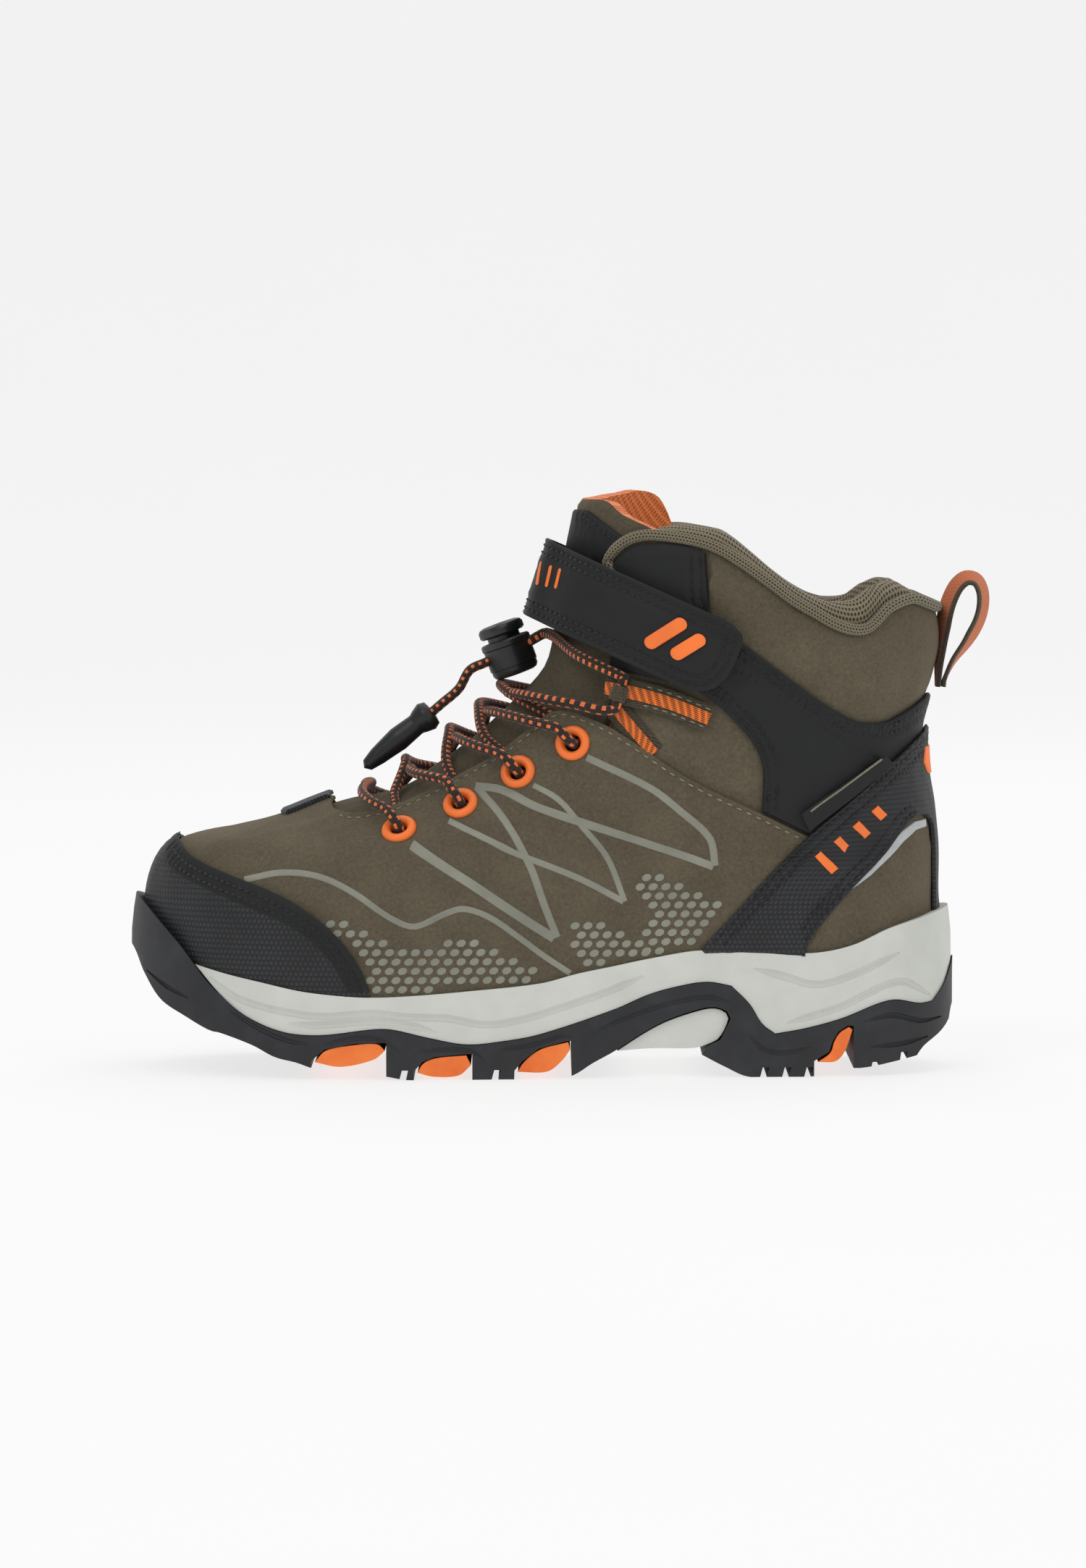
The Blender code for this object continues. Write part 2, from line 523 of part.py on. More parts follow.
def make_overlays():
    """Black overlays: toe cap, ankle and lace-facing overlay, and heel brace with its two windows."""
    cap = TOE_CAP_EDGE + above_feather(-118, -45.4, GAP)[::-1] + [(-118, 66)]
    panel("toe_cap", [p for p in cap if p[1] > 20], COVER_LAYER, "woven overlay")
    ankle = [(20, 139), (23, 142.3), (27, 144.6), (38, 144.6), (45, 142.6)] + ANKLE_TOP + ANKLE_BOTTOM
    panel("ankle_overlay", ankle, QUARTER_LAYER, "black overlay")
    brace = [p for p in above_feather(43.5, 118, GAP)] + list(reversed(BRACE_FRONT))
    brace = [p for p in brace if p[1] > 31]
    heel = panel("heel_brace", brace, COVER_LAYER, "woven overlay")
    combine(heel, prism("brace_window", BRACE_WINDOW), "DIFFERENCE")


def make_heel_trim():
    """Reflective piping in each window, the orange heel mark and the side tag."""
    strip = [(84.5, 50.6), (91.5, 58.6), (97.6, 66.4), (101, 69), (103.2, 69), (103.2, 67.6), (101.2, 67.4),
             (98.4, 65), (92.4, 57.4), (86, 49.6)]
    for side, name in ((LATERAL, "lateral"), (MEDIAL, "medial")):
        y0, y1 = (-70, -2) if side == LATERAL else (2, 70)
        panel("heel_piping_" + name, strip, (2.1, 2.7), "reflective grey", y0, y1)
    panel("heel_mark", [(100, 80), (118, 80), (118, 88), (100, 88)], TRIM_LAYER, "orange plastic", -5, 5)
    panel("side_tag", [(70.5, 72), (73, 67), (94, 84.5), (91.5, 87)], TRIM_LAYER, "black overlay", -70, -2)


def make_collar_binding():
    """Rolled knit binding that follows the cuff's edge all the way round."""
    line = smooth_line(COLLAR_LINE[:-2], 22)
    half = []
    for i, (x, z) in enumerate(line):
        before, after = line[max(i - 1, 0)], line[min(i + 1, len(line) - 1)]
        run = Vector((after[0] - before[0], after[1] - before[1])).normalized()
        half.append(side_point(x - run.y * 1.9, z + run.x * 1.9, LATERAL, -0.4))
    back = offset_point(1.0, turn_and_rise(104, 128, LATERAL)[1], -0.4)
    points = half + [back] + [Vector((p.x, -p.y, p.z)) for p in reversed(half)]
    tube("collar_binding", points, 2.4, "knit lining")


def make_throat_tab():
    panel("throat_tab", [(-68, 60), (-55, 60), (-55, 90), (-68, 90)], (2.0, 3.6), "black overlay", -6.5, 7.5)


def make_eyelets():
    """Ring-topped eyelets, four on each side."""
    r, big = EYELET_HOLE_R, EYELET_RING_R
    profile = [(r, 1.0), (r + 0.5, 1.0), (r + 0.5, 2.25), (big - 0.3, 2.25), (big, 2.55), (big - 0.9, 3.05),
               (r + 0.7, 3.05), (r, 2.4)]
    for side, name in ((LATERAL, "lateral"), (MEDIAL, "medial")):
        for k, (x, z) in enumerate(EYELETS):
            lathe("eyelet_%s_%d" % (name, k + 1), profile, side_point(x, z, side), side_normal(x, z, side), 10,
                  "orange plastic")


def make_lace_loops():
    """Webbing guides at the top of the lacing, each a strip with a ring for the lace."""
    strip = [(23.7, 105.2), (35, 103), (46, 98.6), (45, 95.4), (34, 99.8), (23.7, 101.8)]
    for side, name in ((LATERAL, "lateral"), (MEDIAL, "medial")):
        y0, y1 = (-70, -2) if side == LATERAL else (2, 70)
        loop = panel("lace_loop_" + name, strip, (2.1, 3.1), "orange mesh", y0, y1)
        ring = lathe("lace_ring_" + name, [(2.5, -1.6), (3.4, -1.6), (3.4, 1.6), (2.5, 1.6)],
                     side_point(*LOOP_CENTRE, side, LOOP_LIFT),
                     LOOP_AXIS, 12, "orange mesh")
        combine(loop, ring, "UNION")


def make_tongue():
    """Padded tongue with its black top patch, both hinged at the throat."""
    outline = [(-54, 60), (-40, 60.5), (-20, 67.5), (0, 77), (14, 86), (18, 98), (17.5, 120), (17.5, 157.5),
               (0, 157.5), (-20, 130), (-54, 90)]
    hinge = (-52.0, 0.0, 66.0)
    for name, shape, layer, paint in (
            ("tongue", outline, TONGUE_LAYER, "olive softshell"),
            ("tongue_patch", [(-10, 146), (17, 139), (17, 154), (-10, 154)], (-3.25, -2.1), "black overlay")):
        piece = panel(name, shape, layer, paint)
        piece.data.transform(Matrix.Translation(-Vector(hinge) * 0.001))
        piece.location = (Vector(hinge) + FRAME_SHIFT) * 0.001


# ---------------------------------------------------------------- the lacing
def lace_half(side, over):
    """Half of the lace, as (turn, rise, distance) stations from the lowest bar up to a webbing guide."""
    def station(x, z, distance):
        return (*turn_and_rise(x, z, here), distance)

    here = side
    stations = [(0.0, front_rise(LACE_CROSSINGS[0]), 0.6)]
    for k, (x, z) in enumerate(EYELETS):
        stations.append(station(x - 3.8, z + 3.5, 5.6))
        stations.append(station(x - 0.6, z + 0.6, 4.7))
        stations.append(station(x, z, 1.6))
        stations.append(station(x, z + 0.4, -1.5))
        stations.append(station(x + 0.3, z + 3.0, -1.85))
        stations.append(station(*EDGE_EXITS[k], -1.6))
        upper = over == (k % 2 == 0)
        stations.append((0.0, front_rise(LACE_CROSSINGS[k + 1]), 1.5 if upper else -1.5))
        here = -here
    x, z = LOOP_CENTRE
    stations.append(station(x - 13, z - 3.0, 3.4))
    for step in (-4.5, 0.0, 4.5):
        stations.append(station(x + LOOP_AXIS.x * step, z + LOOP_AXIS.z * step, LOOP_LIFT))
    return stations


def front_rise(x):
    """The share of the rise at which the front profile reaches this length."""
    rise = 0.0
    while along(FRONT, rise)[0] < x:
        rise += 0.002
    return rise


def on_surface(stations, steps):
    """A smooth run of points through stations given on the surface."""
    scale = 200.0
    run = smooth_line([(turn * scale, rise * scale, distance) for turn, rise, distance in stations], steps)
    return [offset_point(turn / scale, rise / scale, distance) for turn, rise, distance in run]


def lock_entry(side):
    """The stretch of one strand from its webbing guide into the back of the cord lock."""
    strand = Vector((0, TAIL_SPACING / 2 * side, 0))
    top = side_point(LOOP_CENTRE[0] + LOOP_AXIS.x * 4.5, LOOP_CENTRE[1] + LOOP_AXIS.z * 4.5, side, LOOP_LIFT)
    return [top, side_point(13, 113.2, side, 4.4), LOCK_CENTRE - LACE_OUT * 11.5 + strand * 1.9,
            LOCK_CENTRE - LACE_OUT * 7.3 + strand]


def make_lace():
    """The whole held lace, then the two tails that run free from the lock to the end clip."""
    low, high = lace_half(LATERAL, True), lace_half(MEDIAL, False)
    held = on_surface(list(reversed(low)) + high[1:], 150)
    ends = [[Vector(p) for p in smooth_line([tuple(q) for q in lock_entry(side)], 10)] for side in (LATERAL, MEDIAL)]
    tube("lace", list(reversed(ends[0][1:])) + held + ends[1][1:], LACE_D, "lace cord")
    for side, name in ((LATERAL, "lateral"), (MEDIAL, "medial")):
        tube("lace_tail_" + name, smooth_line(tail_route(side), 16), LACE_D, "lace cord")


def tail_route(side):
    start = LOCK_CENTRE - LACE_OUT * 6.6
    y = side * TAIL_SPACING / 2
    return [(start.x, y, start.z), tuple(LOCK_CENTRE + Vector((0, y, 0))),
            tuple(LOCK_CENTRE + LACE_OUT * 7 + Vector((0, y, 0))),
            tuple(LOCK_CENTRE + LACE_OUT * 12 + Vector((0, y, 0))),
            (-22.4, y, 104.4), (-27.2, y, 100.2), (-31.8, y, 96.2)]


def make_lace_end():
    """Moulded clip that holds the two lace ends."""
    along_clip = Vector((-0.79, 0, -0.61))
    bm = bmesh.new()
    bmesh.ops.create_uvsphere(bm, u_segments=14, v_segments=8, radius=1.0)
    bmesh.ops.scale(bm, vec=(4.0, 5.0, 10.0), verts=bm.verts)
    for v in bm.verts:
        taper = 1.0 - 0.32 * (v.co.z + 10) / 20
        v.co.x *= taper
        v.co.y *= taper
        v.co.z = max(v.co.z, -7.6)
    turned = Vector((0, 0, 1)).rotation_difference(along_clip).to_matrix().to_4x4()
    centre = Vector((-32.2, 0, 95.9)) + along_clip * 8.0
    bmesh.ops.transform(bm, matrix=Matrix.Translation(centre) @ turned, verts=bm.verts)
    finish("lace_end", bm, "black plastic")


def make_cord_lock():
    """Barrel, sprung button and spring; the two strands run through a slot in both."""
    across = LOCK_AXIS.cross(Vector((0, 1, 0)))
    barrel = finish("lock_barrel", block(LOCK_CENTRE - LOCK_AXIS * 1.6, (13.2, 17.0, 9.6), across, LOCK_AXIS, 2.6, 3),
                    "black plastic", LOCK_CENTRE)
    bore = finish("lock_bore", block(LOCK_CENTRE + LOCK_AXIS * 2.0, (8.6, 12.6, 14.6), across, LOCK_AXIS, 1.2, 1),
                  "black plastic")
    combine(barrel, bore, "DIFFERENCE")
    slot = finish("lock_slot", block(LOCK_CENTRE, (30, 7.2, 4.4), LACE_OUT, LACE_OUT.cross(Vector((0, 1, 0))), 1.0, 1),
                  "black plastic")
    combine(barrel, slot, "DIFFERENCE")
    button = finish("lock_button", block(LOCK_CENTRE + LOCK_AXIS * 2.4, (7.8, 11.8, 10.2), across, LOCK_AXIS, 1.0, 1),
                    "black plastic", LOCK_CENTRE)
    cap = finish("lock_cap", block(LOCK_CENTRE + LOCK_AXIS * 7.2, (12.2, 15.8, 2.4), across, LOCK_AXIS, 1.1, 2),
                 "black plastic")
    combine(button, cap, "UNION")
    window = finish("button_slot", block(LOCK_CENTRE + LOCK_AXIS * 1.2, (30, 7.2, 6.2), across, LOCK_AXIS, 1.0, 1),
                    "black plastic")
    combine(button, window, "DIFFERENCE")
    lathe("lock_spring", [(1.6, -0.8), (2.6, -0.8), (2.6, 0.8), (1.6, 0.8)], LOCK_CENTRE - LOCK_AXIS * 4.1,
          LOCK_AXIS, 12, "spring steel")


# ---------------------------------------------------------------- the closure strap
def strap_centre_z(x):
    return STRAP_FRONT[1] + STRAP_SLOPE * (x - STRAP_FRONT[0])


def strap_y(x, side):
    """How far out the strap lies at this length, clear of everything beneath its whole width."""
    widest = 0.0
    for k in (-1.0, -0.5, 0.0, 0.5, 1.0):
        p = Vector((x, 0, strap_centre_z(x))) + STRAP_UP * (k * STRAP_W / 2)
        turn, rise = turn_and_rise(p.x, p.z, side)
        if abs(turn) > 0.02:
            widest = max(widest, abs(surface(turn, rise).y))
    return side * (widest + 4.9)


def strap_route(side):
    """Points along the strap's middle line in plan, from the front to one side."""
    return [(STRAP_FRONT[0], 0.0), (STRAP_FRONT[0] + 0.8, side * 9.5)] + [(x, strap_y(x, side))
                                                                         for x in (4, 10, 17, 25, 33, 41, 53)]


def strap_band(name, route, near, far, thickness, paint, half_wide, origin=(0, 0, 0)):
    """A strip of strap material: a plan route thickened outward and drawn out along the strap's width."""
    bm = bmesh.new()
    count = len(route)
    rows = []
    for i, (x, y) in enumerate(route):
        before, after = route[max(i - 1, 0)], route[min(i + 1, count - 1)]
        run = Vector((after[0] - before[0], after[1] - before[1], 0)).normalized()
        out = Vector((run.y, -run.x, 0))
        if out.dot(Vector((x - 45, y, 0))) < 0:
            out = -out
        row = []
        for distance, level in ((near, -half_wide), (far, -half_wide), (far, half_wide), (near, half_wide)):
            p = Vector((x, y, 0)) + out * distance
            row.append(bm.verts.new(Vector((p.x, p.y, strap_centre_z(p.x))) + STRAP_UP * level))
        rows.append(row)
    for a, b in zip(rows, rows[1:]):
        for k in range(4):
            n = (k + 1) % 4
            bm.faces.new((a[k], a[n], b[n], b[k]))
    bm.faces.new(rows[0])
    bm.faces.new(rows[-1])
    return finish(name, bm, paint, origin)


def route_between(route, x0, x1, steps):
    """Evenly picked points of the part of a smooth route that lies between two lengths."""
    points = [p for p in smooth_line(route, 160) if x0 <= p[0] <= x1]
    return [points[round(k * (len(points) - 1) / steps)] for k in range(steps + 1)]


def make_strap():
    """Closure strap in two links, its sewn-down end, its orange bars and its hook and loop patches."""
    half = STRAP_W / 2
    lateral, medial = strap_route(LATERAL), strap_route(MEDIAL)
    corner_y = strap_y(STRAP_CORNER_X, LATERAL)
    hinge = Vector((STRAP_CORNER_X, corner_y, strap_centre_z(STRAP_CORNER_X)))
    anchor = Vector((STRAP_ANCHOR_X, strap_y(STRAP_ANCHOR_X, MEDIAL), strap_centre_z(STRAP_ANCHOR_X)))
    front = (list(reversed(route_between(lateral, -50, STRAP_CORNER_X - 0.3, 14)))
             + route_between(medial, -50, STRAP_ANCHOR_X - 0.3, 26)[1:])
    strap_band("strap_band", front, 0.0, STRAP_T, STRAP_T, "black overlay", half, anchor)
    tab = strap_band("strap_tab", route_between(lateral, STRAP_CORNER_X + 0.3, 60, 16), 0.0, STRAP_T, STRAP_T,
                     "black overlay", half, hinge)
    ends = [(5, 160), (5, 100), (41, 100), (44.5, 105.2), (49, 107.8), (52.3, 112), (55.2, 119), (52.4, 123.6), (30, 160)]
    combine(tab, prism("strap_tab_trim", ends, -70, 0), "INTERSECT")
    strap_band("strap_anchor", route_between(medial, STRAP_ANCHOR_X + 0.3, 60, 10), 0.0, STRAP_T, STRAP_T,
               "black overlay", half)
    strap_band("hook_patch", route_between(lateral, 18, 45, 10), -1.2, -0.35, 0.85, "hook tape", half - 3.2, hinge)
    strap_band("loop_patch", route_between(lateral, 18, 46, 10), -2.4, -1.6, 0.8, "hook tape", half - 3.0)
    for k, (a, b) in enumerate((((30.6, 118.0), (38.4, 123.2)), ((37.4, 115.2), (43.2, 119.0)))):
        make_strap_bar("strap_bar_%d" % (k + 1), a, b, lateral, hinge)


def make_strap_bar(name, a, b, route, origin):
    """A raised orange bar with round ends on the strap's tab."""
    bm = bmesh.new()
    radius = 1.75
    heading = math.atan2(b[1] - a[1], b[0] - a[0])
    outline = []
    for end, turn in ((b, -math.pi / 2), (a, math.pi / 2)):
        for k in range(6):
            angle = heading + turn + math.pi * k / 5
            outline.append((end[0] + radius * math.cos(angle), end[1] + radius * math.sin(angle)))
    line = smooth_line(route, 160)
    levels = []
    for distance in (STRAP_T + 0.6, STRAP_T + 1.4):
        level = []
        for x, z in outline:
            near = min(line, key=lambda p: abs(p[0] - x) + (100 if p[0] < 5 else 0))
            level.append(bm.verts.new((x, near[1] - distance, z)))
        bm.faces.new(level)
        levels.append(level)
    low, high = levels
    for k in range(len(low)):
        n = (k + 1) % len(low)
        bm.faces.new((low[k], low[n], high[n], high[k]))
    return finish(name, bm, "orange plastic", origin)


def make_pull_loop():
    """Webbing pull loop at the back of the cuff, hinged where it is sewn in."""
    line = smooth_line(PULL_LOOP_LINE, 34)
    outer, inner = [], []
    for i, (x, z) in enumerate(line):
        before, after = line[max(i - 1, 0)], line[min(i + 1, len(line) - 1)]
        run = Vector((after[0] - before[0], after[1] - before[1])).normalized()
        outer.append((x - run.y * 0.6, z + run.x * 0.6))
        inner.append((x + run.y * 0.6, z - run.x * 0.6))
    loop = prism("pull_loop", outer + list(reversed(inner)), -5.0, 5.0, "webbing")
    base = Vector((110.4, 0, 104.6))
    loop.data.transform(Matrix.Translation(-base * 0.001))
    loop.location = (base + FRAME_SHIFT) * 0.001


def main():
    for old in list(bpy.data.objects):
        bpy.data.objects.remove(old, do_unlink=True)
    make_outsole()
    make_tread_inserts()
    make_midsole()
    make_arch_bridge()
    make_inner_sole()
    make_vamp_quarter()
    make_base_layer()
    make_lining()
    make_overlays()
    make_heel_trim()
    make_collar_binding()
    make_throat_tab()
    make_eyelets()
    make_lace_loops()
    make_tongue()
    make_lace()
    make_lace_end()
    make_cord_lock()
    make_strap()
    make_pull_loop()


main()
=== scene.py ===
import math

import bmesh
import bpy
import numpy as np
from bpy.props import FloatProperty, FloatVectorProperty, PointerProperty
from mathutils import Matrix, Vector, geometry, kdtree, noise


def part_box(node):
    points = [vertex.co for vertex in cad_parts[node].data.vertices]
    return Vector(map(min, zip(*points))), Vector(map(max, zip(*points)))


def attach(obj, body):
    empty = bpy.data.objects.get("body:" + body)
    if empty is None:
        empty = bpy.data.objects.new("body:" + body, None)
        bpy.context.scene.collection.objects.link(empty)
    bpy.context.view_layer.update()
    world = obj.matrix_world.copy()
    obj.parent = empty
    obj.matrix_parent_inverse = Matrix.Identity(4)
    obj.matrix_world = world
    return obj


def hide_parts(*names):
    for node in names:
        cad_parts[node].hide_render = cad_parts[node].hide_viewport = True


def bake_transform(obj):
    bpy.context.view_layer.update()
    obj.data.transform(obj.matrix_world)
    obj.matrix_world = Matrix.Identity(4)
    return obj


# A child's mid-height hiking boot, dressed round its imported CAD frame.  Sizes in the functions are
# millimetres, in the part's own frame: toe toward -X, lateral side toward -Y, ground at z = 0.

bl_info = {
    "name": "Hiking Boot",
    "version": (1, 0, 0),
    "blender": (4, 5, 0),
    "location": "View3D > Sidebar > Boot",
    "description": "Builds the upper, sole, lacing and strap of a child's hiking boot on its CAD frame",
    "category": "Object",
}

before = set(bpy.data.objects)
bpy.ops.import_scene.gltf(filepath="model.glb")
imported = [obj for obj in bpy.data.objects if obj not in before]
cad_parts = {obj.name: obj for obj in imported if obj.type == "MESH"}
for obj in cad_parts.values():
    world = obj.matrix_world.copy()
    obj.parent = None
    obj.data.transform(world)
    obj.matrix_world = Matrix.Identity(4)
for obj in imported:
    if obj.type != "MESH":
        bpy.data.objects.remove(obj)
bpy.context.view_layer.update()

# ---------------------------------------------------------------- the last that the upper is laid on
LATERAL, MEDIAL = -1, 1
SIDES = ((LATERAL, "lateral"), (MEDIAL, "medial"))
SHIFT = Vector((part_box("outsole")[0][0] * 1000 + 113.1, 0, 0))
SOLE_FRONT, SOLE_BACK = -112.6, 113.4
FRONT = [(-104, 12), (-106, 25), (-106.6, 38), (-106.3, 48), (-104, 56), (-100, 60.8), (-94, 63), (-84, 65),
         (-72, 68.1), (-62, 72), (-52, 75.8), (-42, 79.8), (-32, 86.2), (-22.3, 93.2), (-15.3, 99.2),
         (-9.3, 104.9), (-4.6, 109.5), (-1.7, 113.6), (0, 118.9), (1.5, 126.6), (3.5, 135.6), (5.5, 145.7),
         (7.5, 156), (9, 170)]
BACK = [(108, 12), (108.6, 25), (108, 38), (107, 48), (107, 60), (106, 72), (104.2, 84), (104.2, 95),
        (106.4, 104), (107.6, 112), (108.6, 118), (109, 126), (108.6, 136), (108, 170)]
BACK_HEIGHTS = [(12, 12), (38, 37), (60, 56), (75, 73), (100, 98), (170, 170)]
WIDTH_X = [-112, -70, -30, 10, 50, 90, 112]
LATERAL_W = [(12, [41, 42.5, 41, 36.5, 33, 31, 31]), (45, [39, 41.5, 40.5, 36.5, 33, 31, 31]),
             (65, [32, 35, 36, 35.5, 33.5, 31.5, 30]), (85, [29, 30, 31.5, 32.5, 34, 32, 29]),
             (110, [27, 27, 28, 30, 33.5, 32.5, 30]), (170, [28, 28, 28, 30, 34.0, 33, 31])]
MEDIAL_W = [(12, [42, 42.5, 38, 31.5, 29.5, 30.5, 31]), (45, [40, 41.5, 38.5, 33, 31, 31, 31]),
            (65, [33, 35, 35.5, 34, 33, 31.5, 30]), (85, [29, 30, 31.5, 32, 33.5, 32, 29]),
            (110, [27, 27, 28, 30, 33.5, 32.5, 30]), (170, [28, 28, 28, 30, 34.0, 33, 31])]
CENTRE_LINE = ([-112, -70, -20, 40, 112], [5.0, 1.5, -1.0, 0.0, 0.0])
FRONT_ROUND = ([12, 45, 64, 82, 105, 170], [58, 60, 86, 82, 50, 46])
BACK_ROUND = ([12, 60, 100, 170], [31, 30, 31, 33])

# ---------------------------------------------------------------- pattern lines in side view (x, z)
FEATHER = [(-112, 33), (-94, 30.5), (-85, 28), (-75, 26), (-65, 24), (-55, 22.9), (-45, 22.4), (-35, 22.8),
           (-20, 24), (0, 26), (10, 28.5), (20, 30.5), (30, 32.5), (44, 34.6), (65, 34), (75, 33.8),
           (85, 35.8), (95, 40), (105, 42.8), (118, 46.5)]
MIDSOLE_BOTTOM = [(-94, 30.2), (-87, 22.5), (-80, 17), (-70, 13), (-60, 12.2), (-45, 13.9), (-40, 13.8),
                  (-30, 11.5), (-20, 9.7), (-10, 10.5), (0, 12.3), (20, 18.8), (30, 23), (40, 25.5), (46, 26.1),
                  (52, 25), (57, 20), (60.5, 14.5), (64, 11.9), (72, 13.3), (82, 16), (92, 19.8), (97, 20.7),
                  (104, 19.3), (107.5, 19.6), (111, 24), (114, 31), (120, 34)]
BUMPER_TOP = [(-116, 50), (-110.5, 47.2), (-107, 44), (-100, 37), (-96.5, 33)]
TREAD_BOTTOM = [(118, 24), (113.2, 17), (112.6, 14), (110, 11), (105, 7.5), (103, 5), (98, 4), (88, 2.3),
                (80, 2.3), (74, 0), (57, 0), (50, 3), (44, 6.2), (45.6, 8.4), (49, 10.2), (51.8, 16),
                (50.8, 18), (48, 19.2), (44, 18.9), (35, 16), (29, 13), (20, 7.3), (14, 4), (10, 1.4), (6, 0),
                (-10, 0), (-17, 0), (-36, 0), (-42, 1), (-61, 3), (-66, 4.6), (-72, 6), (-78, 9),
                (-87, 12), (-90, 12.5), (-97, 16), (-104, 20), (-109, 27), (-112, 33), (-116, 36)]
ARCH_PIECE = [(21, 7.4), (30, 8), (42, 8), (45.4, 9), (48.6, 10.7), (51.2, 16), (50.4, 17.6), (47.8, 18.7),
              (44.2, 18.4), (35, 15.5), (29, 12.5)]
TREAD_INSERTS = [[(-61, 4.8), (-58, 8), (-50, 9.6), (-44, 9.8), (-42, 8), (-45, 5.6), (-54, 3.6)],
                 [(-33.2, 2), (-31.5, 4.6), (-28, 6), (-20, 6.7), (-18.7, 4), (-22, 1.2), (-29, 0.9)],
                 [(-6, 2), (-4.5, 4.5), (0, 8), (7.6, 10), (8.2, 8), (6, 5), (2, 2)],
                 [(75.6, 4), (79, 6.5), (80, 9.5), (81.5, 12), (84, 13.6), (85, 12.8), (83, 7), (80.5, 4.2)]]
MIDSOLE_GROOVES = [[(-90, 27), (-84, 22.5), (-75, 19.5), (-60, 17.3), (-46, 18.2), (-36, 17.2), (-25, 16.8),
                    (-15, 15), (-5, 16.3), (10, 20.8), (20, 24.3), (28, 27.7)],
                   [(58, 29.6), (66, 27.6), (75, 25.2), (85, 27.7), (98, 33.4)],
                   [(67, 14.6), (82, 19.2), (90, 22.9), (96, 25.2), (100, 25.3), (107, 21.2)],
                   [(-68, 15.2), (-60, 14.9), (-45, 16), (-35, 14.8), (-28, 13.0)]]
EYESTAY_EDGE = [(-56, 71), (-52, 70), (-47, 70.5), (-38, 73), (-28, 77.5), (-20, 82), (-10, 88), (-5, 92),
                (0, 96), (3, 98.3), (7, 99.3), (10, 98.7), (20, 94.5), (40, 81.5), (60, 71.7), (73, 65.3)]
TOE_CAP_EDGE = [(-99.5, 63), (-97, 60), (-93, 57), (-83, 53), (-73, 49.7), (-63, 45.3), (-55, 39),
                (-50, 32.5), (-46.5, 25.5), (-46, 22.8)]
COLLAR_LINE = [(19.5, 139.5), (22, 143), (26, 145.6), (31, 146.4), (42, 145), (48, 143), (55, 138.7),
               (62, 133.7), (68, 129.2), (74, 125.7), (80, 122.3), (85, 120.8), (89, 121.3), (92, 123.8),
               (95, 126.8), (101, 129), (105, 127.6), (108.5, 126)]
ROLL_TOP = [(19.5, 141), (24, 147), (34, 150.2), (45, 149), (51, 147.5), (57, 143), (63, 138), (70, 133),
            (76, 130), (82, 129.3), (87, 130), (91, 132.5), (98, 135), (102, 134), (109, 129.5)]
BRACE_FRONT = [(43.5, 34.9), (45, 36.5), (53, 45), (63, 56), (73, 66), (82, 74), (92, 83), (102, 92), (105, 94.6)]
BRACE_WINDOW = [(72, 35), (76, 41), (84, 51), (92, 60), (98, 68), (100.5, 70), (103, 70.2),
                (104.5, 69), (105.4, 66), (105.9, 55), (106, 43.5)]
ANKLE_TOP = [(46, 127), (50, 122), (55, 118), (65, 110.5), (75, 103), (85, 97), (90, 96.2), (95, 96.8),
             (106.4, 103.5)]
ANKLE_BOTTOM = [(104.3, 90.5), (92, 79.5), (82, 70.5), (75.5, 65), (60.2, 72.3), (60.5, 80), (60, 86),
                (57, 92), (53, 96.5), (46, 103), (40, 106), (30, 108.5), (19, 111)]
PULL_LOOP_LINE = [(109.7, 105), (110.2, 113), (111.8, 125), (114.4, 132), (117.5, 134.9), (120.6, 134.2),
                  (122.2, 130), (121.4, 124), (118, 117.5), (114, 112), (111.6, 107), (111.2, 105)]
EYELETS = [(-38.0, 66.0), (-21.3, 73.2), (-5.6, 82.0), (9.3, 90.3)]
LACE_CROSSINGS = [-46.5, -36.5, -24.5, -16.0, -10.0]
EDGE_EXITS = [(-40.5, 76.2), (-25.5, 83.0), (-14.5, 91.2), (-1.5, 100.4)]
LOOP_AXIS = Vector((0.35, 0.0, 0.94)).normalized()
LOOP_CENTRE, LOOP_LIFT = (22.5, 103.6), 3.9
STRAP_W, STRAP_T = 19.5, 1.3
STRAP_UP = Vector((0.30, 0.0, 0.954)).normalized()
STRAP_FRONT, STRAP_SLOPE = (-0.1, 135.0), -0.444
STRAP_CORNER_X, STRAP_ANCHOR_X = 10.0, 40.0
LOCK_CENTRE = Vector((-8.6, 0.0, 114.7))
LOCK_AXIS = Vector((-0.34, 0.0, 0.94)).normalized()
LACE_OUT = Vector((-0.90, 0.0, -0.436)).normalized()
TAIL_SPACING, LACE_D = 3.3, 2.6
QUARTER_TOP, COVER_TOP, BASE_TOP = 1.6, 3.1, 0.0


def hermite(xs, ys, x):
    """Smooth values through the points (xs, ys), level past both ends; ys may hold one column per x."""
    xs, ys = np.asarray(xs, float), np.asarray(ys, float)
    x = np.clip(np.asarray(x, float), xs[0], xs[-1])
    run = xs.reshape((-1,) + (1,) * (ys.ndim - 1))
    slopes = np.empty_like(ys)
    slopes[1:-1] = (ys[2:] - ys[:-2]) / (run[2:] - run[:-2])
    slopes[0] = (ys[1] - ys[0]) / (run[1] - run[0])
    slopes[-1] = (ys[-1] - ys[-2]) / (run[-1] - run[-2])
    k = np.clip(np.searchsorted(xs, x), 1, len(xs) - 1)
    h = xs[k] - xs[k - 1]
    u = (x - xs[k - 1]) / h
    if ys.ndim == 2:
        columns = np.arange(ys.shape[1])
        a, b, sa, sb = ys[k - 1, columns], ys[k, columns], slopes[k - 1, columns], slopes[k, columns]
    else:
        a, b, sa, sb = ys[k - 1], ys[k], slopes[k - 1], slopes[k]
    return (a * (1 + 2 * u) * (1 - u) ** 2 + sa * h * u * (1 - u) ** 2
            + b * u * u * (3 - 2 * u) - sb * h * u * u * (1 - u))


